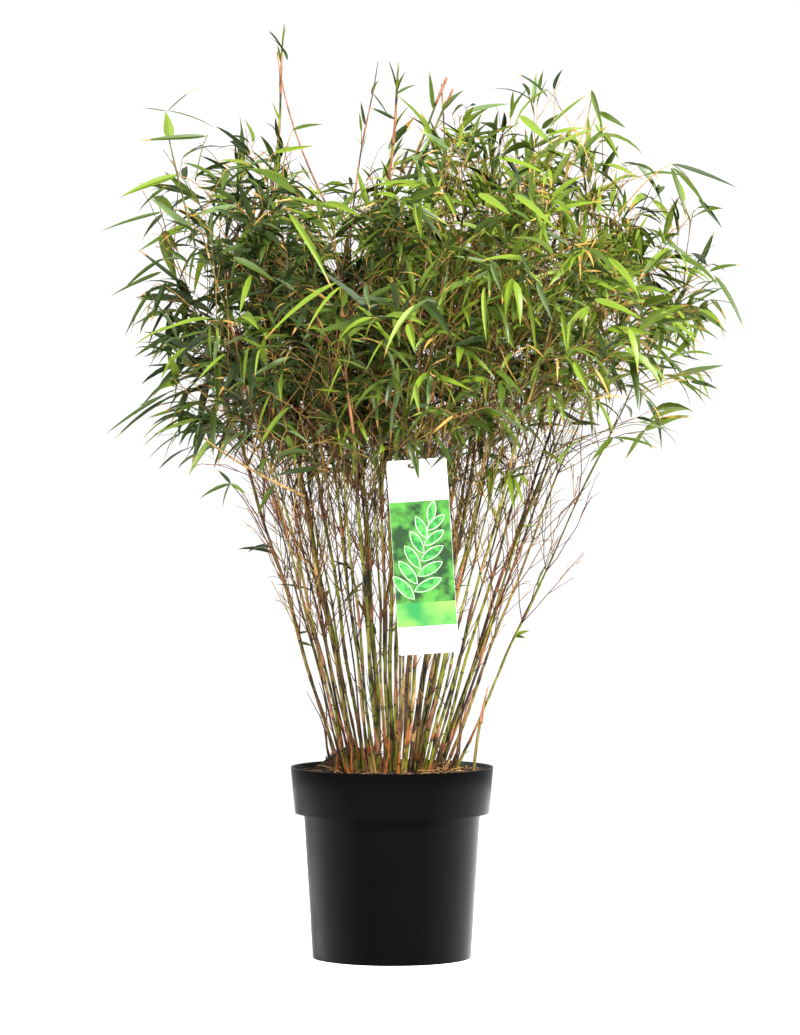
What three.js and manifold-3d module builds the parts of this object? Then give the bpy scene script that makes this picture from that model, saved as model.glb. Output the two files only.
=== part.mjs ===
// A clump of thin-stemmed garden bamboo in a black nursery pot, with a blank plant label.
// Millimetres, +Z up, the front of the plant towards -Y. The origin is the middle of the pot's underside.
import * as THREE from "three";
import { mergeVertices } from "three/addons/utils/BufferGeometryUtils.js";
import Module from "manifold-3d";

const wasm = await Module();
wasm.setup();

// Driving dimensions of the pot: a tapering bucket with a wider band round its top.
const pot = {
  height: 267,
  footRadius: 111,
  bodyTopRadius: 123.5,
  bandFootRadius: 136,
  rimRadius: 142,
  bandHeight: 64,
  wall: 2.6,
  baseThickness: 3,
  edgeRounding: 2.5,
  sides: 32,
  drainHoles: 6,
  drainRadius: 6,
  drainCircle: 88,
  drainSides: 6,
  drillLength: 18,
};

// The compost fills the pot to just under the rim, with one crumbling heap at the back left.
const soil = {
  belowRim: 6,
  gap: 0.4,
  heapX: -64,
  heapY: 88,
  heapRadius: 26,
  heapHeight: 15,
  heapStretch: new THREE.Vector2(1.4, 0.9),
  heapTurn: 0.1,
  heapSides: 10,
  heapRings: 5,
};
const soilTop = pot.height - soil.belowRim;

// The clump is a fan: an oval of stems at the compost that opens evenly upwards,
// at its own slope to the right, to the left and from front to back, and wider near the top.
const fan = {
  right: { foot: 90, slope: 0.45 },
  left: { foot: 86, slope: 0.335 },
  depth: { foot: 76, slope: 0.335 },
  arch: 24,
};

// The crown: its top line as a level with three lobes, its reach to the sides and its hanging underside.
const crown = {
  top: 1018,
  lobes: [
    { x: -250, rise: 72, spread: 100 },
    { x: 20, rise: 66, spread: 70 },
    { x: 235, rise: 132, spread: 140 },
  ],
  rimDrop: 75,
  tipSpread: 40,
  overTip: 80,
  reachRight: 472,
  reachLeft: 372,
  reachDepth: 400,
  underside: 585,
  undersideRise: 140,
  rightRise: 60,
  foot: 695,
  footRise: 15,
};

// Stems that carry foliage, and plain ones that end where they come up into it.
const leafyStems = { count: 22, turn: -0.134, share: 1, seed: 43 };
const plainStems = { count: 12, turn: 3.56, share: 0.93, seed: 977 };
const goldenAngle = Math.PI * (3 - Math.sqrt(5));

const stem = {
  footRadius: 3.1,
  radiusSpread: 0.6,
  tipShare: 0.3,
  flare: 1.25,
  flareHeight: 14,
  bow: 7,
  seat: 0.3,
  sides: 5,
  steps: 4,
  stepGrowth: 1.3,
  seedStep: 131,
};

// Young shoots that stand out of the crown: the place along X where each leaves it, and that of its tip.
const leaders = [
  { foot: -176, x: -150, top: 1304 },
  { foot: -56, x: -20, top: 1262 },
  { foot: -5, x: 9, top: 1238 },
  { foot: 36, x: 69, top: 1222 },
];
const preferInner = 220;

// Foliage grows from joints up the stem: a twig at each, a fan of leaves on each twig.
const foliage = {
  seedOffset: 7,
  joints: 5.5,
  outerJoints: 4,
  footRoom: 8,
  tipRoom: 6,
  steps: 3,
  leaderSteps: 6,
  sides: 3,
  stemFoot: 2.8,
  stemTop: 2.2,
  stemTip: 1.1,
  clearance: 1.6,
};
const twig = {
  length: 42,
  shortest: 10,
  lowerLonger: 1.15,
  upperShorter: 0.5,
  overhang: 105,
  thickness: 0.48,
  lift: 0.9,
  outerLift: 0.55,
  liftSpread: 0.15,
  outwardPull: 0.35,
  shrink: 0.8,
  room: 4,
};
const leafForm = {
  perTwig: 4,
  spacing: 70,
  firstAt: 0.95,
  spanOfTwig: 0.7,
  sideways: 0.9,
  length: 122,
  lengthSpread: 24,
  width: 25,
  thickness: 3,
  widestAt: 0.36,
  rootSunk: 0.4,
  headingSpread: 0.9,
  pitchLow: -0.6,
  pitchHigh: 0.75,
  pitchSpread: 0.6,
  rollSpread: 1.1,
  apart: 2.5,
  rootRoom: 1,
  tipRoom: 3,
  strayShare: 0.2,
  strayReach: 1.075,
  tries: 30,
  triesToWiden: 6,
  widestPitch: 2,
  farEnough: 200,
  checkedAt: [0.12, 0.24, 0.36, 0.52, 0.68, 0.84, 1],
  markedAt: [0.45, 0.72, 1],
};

// The label hangs in front of the frontmost stem that crosses its width.
const label = {
  width: 81,
  length: 263,
  thickness: 0.9,
  x: 42,
  z: 567,
  lean: THREE.MathUtils.degToRad(3.8),
  cornerRadius: 3,
  slotWidth: 16,
  slotHeight: 7,
  slotBelowTop: 5,
  inFront: 5,
  keepOut: 14,
  sideRoom: 6,
  checkStep: 5,
};
const strap = { height: 4, thickness: 1, gap: 0.4, backRoom: 1, sideRoom: 1.9, hostHeight: 690 };

const finishes = {
  pot: new THREE.MeshStandardMaterial({ color: 0x1b1b1c, roughness: 0.5, metalness: 0 }),
  soil: new THREE.MeshStandardMaterial({ color: 0x2c211b, roughness: 0.95, metalness: 0 }),
  stem: new THREE.MeshStandardMaterial({ color: 0x6f6f33, roughness: 0.55, metalness: 0 }),
  foliage: new THREE.MeshStandardMaterial({ color: 0x55782a, roughness: 0.5, metalness: 0 }),
  label: new THREE.MeshStandardMaterial({ color: 0xf1f3ee, roughness: 0.4, metalness: 0 }),
};

const plant = new THREE.Group();

function addNode(name, solid, finish) {
  const mesh = new THREE.Mesh(geometryOf(solid), finish);
  mesh.name = name;
  plant.add(mesh);
}

// Closed geometry to a solid, and back.
function solidOf(geometry) {
  const bare = new THREE.BufferGeometry();
  bare.setAttribute("position", geometry.getAttribute("position"));
  if (geometry.index) bare.setIndex(geometry.index);
  const merged = mergeVertices(bare, 1e-4);
  return new wasm.Manifold(
    new wasm.Mesh({
      numProp: 3,
      vertProperties: new Float32Array(merged.attributes.position.array),
      triVerts: new Uint32Array(merged.index.array),
    }),
  );
}

function geometryOf(solid) {
  const mesh = solid.getMesh();
  const geometry = new THREE.BufferGeometry();
  geometry.setAttribute("position", new THREE.BufferAttribute(mesh.vertProperties, 3));
  geometry.setIndex(new THREE.BufferAttribute(mesh.triVerts, 1));
  geometry.computeVertexNormals();
  return geometry;
}

// A repeatable stream of numbers from 0 to 1.
function seededDraw(seed) {
  let state = seed >>> 0;
  const next = () => {
    state = (Math.imul(state, 1664525) + 1013904223) >>> 0;
    return state / 4294967296;
  };
  next();
  next();
  return next;
}

const between = (from, to, share) => from + (to - from) * share;

// A limb along a curve: centre and radius are functions of the share of its length.
function limb(centreAt, radiusAt, sides, steps, sideways, levelFoot) {
  const shape = new THREE.CylinderGeometry(1, 1, 1, sides, steps);
  const place = shape.getAttribute("position");
  const point = new THREE.Vector3();
  for (let i = 0; i < place.count; i++) {
    point.fromBufferAttribute(place, i);
    const share = Math.round((point.y + 0.5) * steps) / steps;
    const along = centreAt(Math.min(1, share + 0.01));
    along.sub(centreAt(Math.max(0, share - 0.01))).normalize();
    if (levelFoot && share === 0) along.set(0, 0, 1);
    const first = new THREE.Vector3().crossVectors(sideways, along).normalize();
    const second = new THREE.Vector3().crossVectors(along, first);
    const radius = radiusAt(share);
    const centre = centreAt(share);
    centre.addScaledVector(first, point.x * radius).addScaledVector(second, -point.z * radius);
    place.setXYZ(i, centre.x, centre.y, centre.z);
  }
  return solidOf(shape);
}

// The fan's half widths at a height, across on one side of the middle and from front to back.
function fanWidths(z, side) {
  const across = side < 0 ? fan.left : fan.right;
  const above = Math.max(0, z - soilTop);
  const arch = fan.arch * (above / (crown.top - soilTop)) ** 3;
  return new THREE.Vector2(
    across.foot + across.slope * above + arch,
    fan.depth.foot + fan.depth.slope * above + arch,
  );
}

// The crown's top line over a place along X, and whether a point lies within the crown.
function crownTop(x) {
  let top = crown.top;
  for (const lobe of crown.lobes) top += lobe.rise * Math.exp(-(((x - lobe.x) / lobe.spread) ** 2));
  return top;
}

function inCrown(point, stretch = 1) {
  const reach = point.x > 0 ? crown.reachRight : crown.reachLeft;
  const share = Math.hypot(point.x / reach, point.y / crown.reachDepth);
  const roof = crownTop(point.x) + crown.overTip - crown.rimDrop * share ** 6;
  const right = Math.max(0, point.x / crown.reachRight);
  const floor = crown.underside + crown.undersideRise * share ** 2 + crown.rightRise * right ** 2;
  return share < stretch && point.z < roof && point.z > floor;
}

// Every stem of one kind, spread over the fan like the seeds of a sunflower.
function layOutStems(kind) {
  const stems = [];
  for (let i = 0; i < kind.count; i++) {
    const seed = kind.seed + stem.seedStep * i;
    const draw = seededDraw(seed);
    const share = Math.sqrt((i + 0.5) / kind.count) * kind.share;
    const angle = i * goldenAngle + kind.turn;
    const ray = new THREE.Vector2(share * Math.cos(angle), share * Math.sin(angle));
    const bow = stem.bow * (draw() - 0.5);
    const radius = stem.footRadius + stem.radiusSpread * (2 * draw() - 1);
    const tipX = ray.x * fanWidths(crown.top, ray.x).x;
    const tip = crownTop(tipX) - crown.rimDrop * share ** 6 - crown.tipSpread * draw();
    const head = crown.foot + crown.footRise * share ** 2;
    stems.push({ share, angle, ray, bow, radius, tip, head, seed: seed + foliage.seedOffset, leafyTip: tip });
  }
  return stems;
}

function stemCentre(one, z) {
  const widths = fanWidths(z, one.ray.x);
  const bow = one.bow * Math.sin((Math.PI * (z - soilTop)) / (crown.top - soilTop));
  const lean = one.drift && z > one.leafyTip ? one.drift * (z - one.leafyTip) / (one.tip - one.leafyTip) : 0;
  return new THREE.Vector3(
    one.ray.x * widths.x - Math.sin(one.angle) * bow + lean,
    one.ray.y * widths.y + Math.cos(one.angle) * bow,
    z,
  );
}

function stemRadius(one, z) {
  const rise = (z - soilTop) / (one.tip - soilTop);
  const flare = 1 + (stem.flare - 1) * Math.max(0, 1 - (z - soilTop) / stem.flareHeight);
  return one.radius * (1 - (1 - stem.tipShare) * rise) * flare;
}

const leafy = layOutStems(leafyStems);
const plain = layOutStems(plainStems);
const allStems = [...leafy, ...plain];

// Each leader raises the nearest inner stem that isn't raised yet, and leans it above the crown.
for (const leader of leaders) {
  const gap = one => Math.abs(stemCentre(one, one.tip).x - leader.foot) + preferInner * one.share ** 2;
  const nearest = leafy.filter(one => !one.drift).sort((a, b) => gap(a) - gap(b))[0];
  nearest.drift = leader.x - stemCentre(nearest, leader.top).x;
  nearest.tip = leader.top;
}

function buildPot() {
  const shoulder = pot.height - pot.bandHeight;
  const round = pot.edgeRounding;
  const profile = [
    [0, 0],
    [pot.footRadius - round, 0],
    [pot.footRadius, round],
    [pot.bodyTopRadius, shoulder],
    [pot.bandFootRadius, shoulder],
    [pot.rimRadius, pot.height - round],
    [pot.rimRadius - pot.wall / 2, pot.height],
    [pot.rimRadius - pot.wall, pot.height - round],
    [pot.bandFootRadius - pot.wall, shoulder + pot.wall],
    [pot.bodyTopRadius - pot.wall, shoulder + pot.wall],
    [pot.footRadius - pot.wall, pot.baseThickness],
    [0, pot.baseThickness],
  ].map(([radius, z]) => new THREE.Vector2(radius, z));
  // The lathe turns about Y, and the pot stands along Z.
  let solid = solidOf(new THREE.LatheGeometry(profile, pot.sides).rotateX(Math.PI / 2));
  for (let i = 0; i < pot.drainHoles; i++) {
    const angle = (2 * Math.PI * i) / pot.drainHoles;
    const hole = new THREE.CylinderGeometry(pot.drainRadius, pot.drainRadius, pot.drillLength, pot.drainSides)
      .rotateX(Math.PI / 2)
      .translate(pot.drainCircle * Math.cos(angle), pot.drainCircle * Math.sin(angle), 0);
    solid = solid.subtract(solidOf(hole));
  }
  return solid;
}

function buildSoil() {
  const shoulder = pot.height - pot.bandHeight;
  const inset = pot.wall + soil.gap;
  const taper = (pot.rimRadius - pot.bandFootRadius) / pot.bandHeight;
  const foot = pot.baseThickness + soil.gap;
  const profile = [
    [0, foot],
    [pot.footRadius - inset, foot],
    [pot.bodyTopRadius - inset, shoulder + inset],
    [pot.bandFootRadius - inset, shoulder + inset],
    [pot.rimRadius - taper * soil.belowRim - inset, soilTop],
    [0, soilTop],
  ].map(([radius, z]) => new THREE.Vector2(radius, z));
  const ball = solidOf(new THREE.LatheGeometry(profile, pot.sides).rotateX(Math.PI / 2));
  const heap = new THREE.SphereGeometry(soil.heapRadius, soil.heapSides, soil.heapRings)
    .scale(soil.heapStretch.x, soil.heapStretch.y, soil.heapHeight / soil.heapRadius)
    .rotateZ(soil.heapTurn)
    .translate(soil.heapX, soil.heapY, soilTop);
  return ball.add(solidOf(heap));
}

function buildStem(one) {
  const foot = soilTop + stem.seat;
  const sideways = new THREE.Vector3(-Math.sin(one.angle), Math.cos(one.angle), 0);
  const heightAt = share => between(foot, one.head, share ** stem.stepGrowth);
  return limb(
    share => stemCentre(one, heightAt(share)),
    share => stemRadius(one, heightAt(share)),
    stem.sides,
    stem.steps,
    sideways,
    true,
  );
}

// The label's middle line along Y: clear of every stem that passes behind it.
function labelDepth() {
  const half = label.length / 2;
  let front = 0;
  for (const one of allStems) {
    for (let z = label.z - half; z <= label.z + half; z += label.checkStep) {
      const centre = stemCentre(one, z);
      const offset = Math.abs(centre.x - label.x - (label.z - z) * Math.sin(label.lean));
      if (offset < label.width / 2 + label.sideRoom) front = Math.min(front, centre.y - stemRadius(one, z));
    }
  }
  return front - label.inFront;
}
const labelY = labelDepth();

// The frontmost stem that passes the label's slot carries its strap.
function strapHost() {
  const passing = allStems.filter(one => {
    const centre = stemCentre(one, strap.hostHeight);
    return centre.y < 0 && Math.abs(centre.x - label.x) < label.width / 2;
  });
  const depth = one => stemCentre(one, strap.hostHeight).y;
  return passing.sort((a, b) => depth(a) - depth(b))[0];
}
const host = strapHost();

// The slot's middle in the label's own flat frame, X across and Y up from the label's middle.
const slotPlace = (() => {
  const centre = stemCentre(host, strap.hostHeight);
  const up = label.length / 2 - label.slotBelowTop - label.slotHeight / 2;
  const across = (centre.x - label.x - up * -Math.sin(label.lean)) / Math.cos(label.lean);
  return new THREE.Vector2(across, up);
})();

function buildLabel() {
  const x = label.width / 2;
  const y = label.length / 2;
  const round = label.cornerRadius;
  const outline = new THREE.Shape();
  outline.moveTo(-x + round, -y);
  outline.lineTo(x - round, -y).absarc(x - round, -y + round, round, -Math.PI / 2, 0);
  outline.lineTo(x, y - round).absarc(x - round, y - round, round, 0, Math.PI / 2);
  outline.lineTo(-x + round, y).absarc(-x + round, y - round, round, Math.PI / 2, Math.PI);
  outline.lineTo(-x, -y + round).absarc(-x + round, -y + round, round, Math.PI, 1.5 * Math.PI);
  const slot = new THREE.Path();
  const half = label.slotHeight / 2;
  const run = label.slotWidth / 2 - half;
  slot.absarc(slotPlace.x + run, slotPlace.y, half, -Math.PI / 2, Math.PI / 2);
  slot.absarc(slotPlace.x - run, slotPlace.y, half, Math.PI / 2, 1.5 * Math.PI);
  outline.holes.push(slot);
  const plate = new THREE.ExtrudeGeometry(outline, {
    depth: label.thickness,
    bevelEnabled: false,
    curveSegments: 2,
  });
  // The card is drawn flat, stood up facing the front, and leant in its own plane.
  plate
    .translate(0, 0, -label.thickness / 2)
    .rotateX(Math.PI / 2)
    .rotateY(-label.lean)
    .translate(label.x, labelY, label.z);
  return solidOf(plate);
}

// A flat oval band through the slot, which hangs on it, and round the stem behind.
function buildStrap() {
  const slotZ = label.z + slotPlace.y * Math.cos(label.lean) + slotPlace.x * Math.sin(label.lean);
  const z = slotZ + (label.slotHeight - strap.height) / 2 - strap.gap;
  const centre = stemCentre(host, z);
  const radius = stemRadius(host, z);
  const front = labelY - label.thickness / 2 - strap.gap;
  const back = centre.y + radius + strap.backRoom;
  const halfWidth = radius + strap.sideRoom;
  const halfDepth = (back - front) / 2;
  const middle = (front + back) / 2;
  const band = new THREE.Shape();
  band.absellipse(centre.x, middle, halfWidth + strap.thickness, halfDepth + strap.thickness, 0, 2 * Math.PI);
  const inside = new THREE.Path();
  inside.absellipse(centre.x, middle, halfWidth, halfDepth, 0, 2 * Math.PI);
  band.holes.push(inside);
  const ring = new THREE.ExtrudeGeometry(band, {
    depth: strap.height,
    bevelEnabled: false,
    curveSegments: 6,
  });
  return solidOf(ring.translate(0, 0, z - strap.height / 2));
}

// Whether a point with some room round it stays in its stem's own share of the fan.
function inOwnSpace(index, point, room) {
  const widths = fanWidths(point.z, point.x);
  const own = leafy[index].ray;
  const x = point.x / widths.x;
  const y = point.y / widths.y;
  return leafy.every((other, i) => {
    if (i === index) return true;
    const alongX = other.ray.x - own.x;
    const alongY = other.ray.y - own.y;
    const beyond = (x - (other.ray.x + own.x) / 2) * alongX + (y - (other.ray.y + own.y) / 2) * alongY;
    return beyond / Math.hypot(alongX / widths.x, alongY / widths.y) < -(room + foliage.clearance);
  });
}

// Whether a point with some room round it is clear of the stems below the crown and of the label.
function clearOfLimbs(point, room) {
  for (const one of allStems) {
    if (point.z > one.head + room + foliage.clearance) continue;
    const z = Math.min(point.z, one.head);
    if (stemCentre(one, z).distanceTo(point) < stemRadius(one, z) + room + foliage.clearance) return false;
  }
  const across = Math.abs(point.x - label.x - (label.z - point.z) * Math.sin(label.lean));
  const up = Math.abs(point.z - label.z);
  const before = point.y < labelY + label.keepOut;
  return !(before && across < label.width / 2 + room + label.sideRoom && up < label.length / 2 + room);
}

// A leaf is a long kite folded along its keel: root, tip and two side corners, so four faces.
function leafHalfWidth(share) {
  const swell = share < leafForm.widestAt ? share / leafForm.widestAt : (1 - share) / (1 - leafForm.widestAt);
  return (leafForm.width / 2) * swell;
}

function placeLeaf(root, heading, pitch, roll, length) {
  const level = Math.cos(pitch);
  const along = new THREE.Vector3(level * Math.cos(heading), level * Math.sin(heading), Math.sin(pitch));
  const across = new THREE.Vector3(-Math.sin(heading), Math.cos(heading), 0).applyAxisAngle(along, roll);
  const facing = new THREE.Vector3().crossVectors(along, across);
  return { root: root.clone().addScaledVector(along, -leafForm.rootSunk), along, across, facing, length };
}

function leafPoint(leaf, share, side, spare = 0) {
  return leaf.root
    .clone()
    .addScaledVector(leaf.along, share * leaf.length)
    .addScaledVector(leaf.across, side * (leafHalfWidth(share) + spare));
}

function leafSolid(leaf) {
  const shape = new THREE.TetrahedronGeometry(Math.sqrt(3));
  const place = shape.getAttribute("position");
  for (let i = 0; i < place.count; i++) {
    const side = Math.round(place.getX(i));
    const spot =
      place.getZ(i) > 0
        ? leafPoint(leaf, side > 0 ? 1 : 0, 0)
        : leafPoint(leaf, leafForm.widestAt, side).addScaledVector(leaf.facing, leafForm.thickness);
    place.setXYZ(i, spot.x, spot.y, spot.z);
  }
  return solidOf(shape);
}

// A leaf's outline with some room round it, as two triangles that share its keel.
function leafOutline(leaf) {
  const root = leaf.root.clone().addScaledVector(leaf.along, leafForm.rootSunk + leafForm.rootRoom);
  const tip = leafPoint(leaf, 1 + leafForm.tipRoom / leaf.length, 0);
  const sides = [-1, 1].map(side => leafPoint(leaf, leafForm.widestAt, side, leafForm.apart));
  const halves = sides.map(corner => new THREE.Triangle(root, corner, tip));
  return { corners: [root, sides[0], tip, sides[1]], halves };
}

function crosses(from, to, triangle) {
  const along = new THREE.Vector3().subVectors(to, from);
  const length = along.length();
  const hit = new THREE.Ray(from, along.normalize()).intersectTriangle(
    triangle.a,
    triangle.b,
    triangle.c,
    false,
    new THREE.Vector3(),
  );
  return hit !== null && hit.distanceTo(from) < length;
}

function outlinesCross(one, other) {
  for (const [edged, faced] of [[one, other], [other, one]]) {
    for (let i = 0; i < 4; i++) {
      const from = edged.corners[i];
      const to = edged.corners[(i + 1) % 4];
      if (faced.halves.some(half => crosses(from, to, half))) return true;
    }
  }
  return false;
}

function leafFits(index, leaf, outline, stretch, wood, outlines) {
  const room = leafForm.thickness / 2;
  for (const share of leafForm.checkedAt) {
    for (const side of [-1, 1]) {
      const point = leafPoint(leaf, share, side);
      if (!inOwnSpace(index, point, room) || !inCrown(point, stretch)) return false;
    }
    if (!clearOfLimbs(leafPoint(leaf, share, 0), leafHalfWidth(share) + room)) return false;
  }
  if (wood.some(piece => outline.halves.some(half => crosses(piece.from, piece.to, half)))) return false;
  return !outlines.some(other => outlinesCross(outline, other));
}

// Of a few tries, each looking further round, the leaf that keeps furthest from the others is kept.
function growLeaf(index, root, heading, level, draw, grown) {
  let best = null;
  const stretch = draw() < leafForm.strayShare ? leafForm.strayReach : 1;
  for (let attempt = 0; attempt < leafForm.tries; attempt++) {
    const wide = 1 + attempt / leafForm.triesToWiden;
    const turn = heading + wide * leafForm.headingSpread * (2 * draw() - 1);
    const pitchMiddle = between(leafForm.pitchLow, leafForm.pitchHigh, level);
    const pitchSpread = Math.min(wide, leafForm.widestPitch) * leafForm.pitchSpread;
    const pitch = pitchMiddle + pitchSpread * (2 * draw() - 1);
    const roll = leafForm.rollSpread * (2 * draw() - 1);
    const length = leafForm.length + leafForm.lengthSpread * (2 * draw() - 1);
    const leaf = placeLeaf(root, turn, pitch, roll, length);
    const outline = leafOutline(leaf);
    if (!leafFits(index, leaf, outline, stretch, grown.wood, grown.outlines)) continue;
    const ends = leafForm.markedAt.map(share => leafPoint(leaf, share, 0));
    const gaps = grown.marks.flatMap(mark => ends.map(end => end.distanceTo(mark)));
    const gap = Math.min(leafForm.farEnough, ...gaps);
    if (!best || gap > best.gap) best = { leaf, outline, ends, gap };
  }
  if (!best) return null;
  grown.marks.push(...best.ends);
  grown.outlines.push(best.outline);
  return leafSolid(best.leaf);
}

// Within the foliage a stem keeps enough thickness to root its twigs in, up to its fine tip.
function foliageStemRadius(one, z) {
  if (z > one.tip - foliage.tipRoom) return foliage.stemTip;
  return between(foliage.stemFoot, foliage.stemTop, (z - one.head) / (one.tip - one.head));
}

// The twigs of a stem: one at each joint, turned round the stem by the golden angle,
// and reaching out over the crown's rim where the stem stands near it.
function planTwigs(one, index, draw) {
  const twigs = [];
  const joints = Math.round(foliage.joints + foliage.outerJoints * one.share ** 2);
  for (let j = 0; j < joints; j++) {
    const level = (j + 0.5) / joints;
    const spin = THREE.MathUtils.euclideanModulo(j * goldenAngle + Math.PI, 2 * Math.PI) - Math.PI;
    const azimuth = one.angle + spin * (1 - twig.outwardPull * one.share ** 3);
    const outward = Math.max(0, Math.cos(azimuth - one.angle)) * one.share ** 3;
    const lift = twig.lift * (1 - twig.outerLift * outward) + twig.liftSpread * (2 * draw() - 1);
    const root = stemCentre(one, between(one.head + foliage.footRoom, one.leafyTip - foliage.tipRoom, level));
    const heading = new THREE.Vector3(
      Math.cos(lift) * Math.cos(azimuth),
      Math.cos(lift) * Math.sin(azimuth),
      Math.sin(lift),
    );
    const room = twig.room;
    const end = () => root.clone().addScaledVector(heading, length);
    const fits = point => inOwnSpace(index, point, room) && inCrown(point) && clearOfLimbs(point, room);
    let length = twig.length * (twig.lowerLonger - twig.upperShorter * level);
    length += twig.overhang * outward * (1 - level);
    while (length > twig.shortest && !fits(end())) length *= twig.shrink;
    if (length > twig.shortest) twigs.push({ from: root, to: end(), azimuth, level, length });
  }
  return twigs;
}

// One mass of foliage: the stem's upper part, its twigs and their leaves, all grown into one.
function growFoliage(one, index) {
  const draw = seededDraw(one.seed);
  const foot = one.head + stem.seat;
  const sideways = new THREE.Vector3(-Math.sin(one.angle), Math.cos(one.angle), 0);
  const heightAt = share => between(foot, one.tip, share);
  const steps = one.drift ? foliage.leaderSteps : foliage.steps;
  let mass = limb(
    share => stemCentre(one, heightAt(share)),
    share => foliageStemRadius(one, heightAt(share)),
    foliage.sides,
    steps,
    sideways,
    false,
  );
  const twigs = planTwigs(one, index, draw);
  const grown = { wood: [...twigs], outlines: [], marks: [] };
  for (let i = 0; i < steps; i++) {
    const from = stemCentre(one, heightAt(i / steps));
    grown.wood.push({ from, to: stemCentre(one, heightAt((i + 1) / steps)) });
  }
  for (const piece of twigs) {
    const upright = new THREE.Vector3(-Math.sin(piece.azimuth), Math.cos(piece.azimuth), 0);
    const along = share => piece.from.clone().lerp(piece.to, share);
    const radius = twig.thickness * foliageStemRadius(one, piece.from.z);
    mass = mass.add(limb(along, () => radius, foliage.sides, 1, upright, false));
  }
  for (const piece of twigs) {
    const count = leafForm.perTwig + Math.floor(piece.length / leafForm.spacing);
    for (let k = 0; k < count; k++) {
      const root = piece.from.clone().lerp(piece.to, leafForm.firstAt - (leafForm.spanOfTwig * k) / count);
      const side = k === 0 ? 0 : k % 2 ? leafForm.sideways : -leafForm.sideways;
      const leaf = growLeaf(index, root, piece.azimuth + side, piece.level, draw, grown);
      if (leaf) mass = mass.add(leaf);
    }
  }
  // A sealed hollow or a loose scrap would be a body of its own; the plant's own body is kept.
  return mass.decompose().sort((a, b) => b.volume() - a.volume())[0];
}

const number = i => String(i + 1).padStart(2, "0");

addNode("pot", buildPot(), finishes.pot);
addNode("soil", buildSoil(), finishes.soil);
allStems.forEach((one, i) => addNode(`culm_${number(i)}`, buildStem(one), finishes.stem));
addNode("label", buildLabel(), finishes.label);
addNode("label_strap", buildStrap(), finishes.label);
leafy.forEach((one, i) => addNode(`foliage_${number(i)}`, growFoliage(one, i), finishes.foliage));

export default plant;
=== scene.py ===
import math

import bmesh
import bpy
import numpy as np
from mathutils import Matrix, Vector, noise


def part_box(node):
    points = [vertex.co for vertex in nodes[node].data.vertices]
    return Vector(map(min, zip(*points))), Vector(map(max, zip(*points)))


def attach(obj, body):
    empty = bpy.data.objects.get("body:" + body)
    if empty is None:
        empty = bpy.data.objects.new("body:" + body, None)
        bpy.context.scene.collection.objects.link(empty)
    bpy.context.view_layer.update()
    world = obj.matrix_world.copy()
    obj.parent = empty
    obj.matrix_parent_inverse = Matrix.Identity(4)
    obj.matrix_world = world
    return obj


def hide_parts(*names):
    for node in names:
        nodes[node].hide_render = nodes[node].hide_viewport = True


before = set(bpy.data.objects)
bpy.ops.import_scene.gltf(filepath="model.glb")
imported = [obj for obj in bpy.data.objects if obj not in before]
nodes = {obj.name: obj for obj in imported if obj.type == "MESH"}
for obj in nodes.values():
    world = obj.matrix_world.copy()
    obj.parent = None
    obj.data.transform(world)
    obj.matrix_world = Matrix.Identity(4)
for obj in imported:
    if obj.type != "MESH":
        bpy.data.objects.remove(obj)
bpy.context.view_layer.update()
print("frame loaded with", len(nodes), "nodes")


# Small helpers for meshes and materials, shared by every piece.

def linear(red, green, blue):
    # A colour as it is seen on screen, 0 to 255, to the values that shaders take.
    def one(level):
        level /= 255
        return level / 12.92 if level <= 0.04045 else ((level + 0.055) / 1.055) ** 2.4
    return one(red), one(green), one(blue), 1.0


def newObject(name, data):
    made = bpy.data.objects.new(name, data)
    bpy.context.scene.collection.objects.link(made)
    return made


def addPiece(name, mesh, material, replaced=()):
    piece = newObject(name, mesh)
    mesh.materials.append(material)
    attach(piece, "root")
    if replaced:
        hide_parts(*replaced)
    return piece


def ramp(values, start, width, least=0):
    # Rises from 0, or from its least value, to 1 over the width.
    return np.clip((values - start) / width, least, 1)


def unit(vectors):
    return vectors / np.linalg.norm(vectors, axis=-1, keepdims=True)


def meshFromArrays(name, points, faces):
    mesh = bpy.data.meshes.new(name)
    mesh.from_pydata(points.reshape(-1, 3).tolist(), [], faces)
    mesh.shade_smooth()
    return mesh


def tubeFaces(starts, steps, sides):
    # Walls and ends of closed tubes with rings of points, from the number of each tube's first point.
    starts = np.reshape(starts, (-1, 1, 1, 1))
    rings = (np.arange(steps - 1) * sides)[:, None, None]
    side = np.arange(sides)
    after = (side + 1) % sides
    corners = np.stack((side, after, sides + after, sides + side), axis=1)
    faces = (starts + rings + corners).reshape(-1, 4).tolist()
    for end in (side[::-1], (steps - 1) * sides + side):
        faces += (starts[:, 0, 0] + end).tolist()
    return faces


def meshFromForm(name, form):
    mesh = bpy.data.meshes.new(name)
    bmesh.ops.remove_doubles(form, verts=form.verts, dist=1e-6)
    bmesh.ops.recalc_face_normals(form, faces=form.faces)
    form.to_mesh(mesh)
    form.free()
    return mesh


def setInputs(node, inputs):
    # Each input gets a plain value, or is fed by another node's output.
    for name, value in inputs.items():
        if isinstance(value, bpy.types.NodeSocket):
            node.id_data.links.new(value, node.inputs[name])
        else:
            node.inputs[name].default_value = value


def addNode(tree, kind, inputs, **settings):
    node = tree.nodes.new("ShaderNode" + kind)
    for name, value in settings.items():
        setattr(node, name, value)
    setInputs(node, inputs)
    return node.outputs


def noiseOver(tree, scale, detail=2.0):
    place = addNode(tree, "TexCoord", {})["Object"]
    return addNode(tree, "TexNoise", {"Vector": place, "Scale": scale, "Detail": detail})["Fac"]


def ranged(tree, value, low=0.0, high=1.0, to=(0.0, 1.0)):
    bounds = {"From Min": low, "From Max": high, "To Min": to[0], "To Max": to[1]}
    return addNode(tree, "MapRange", {"Value": value} | bounds)["Result"]


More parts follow.
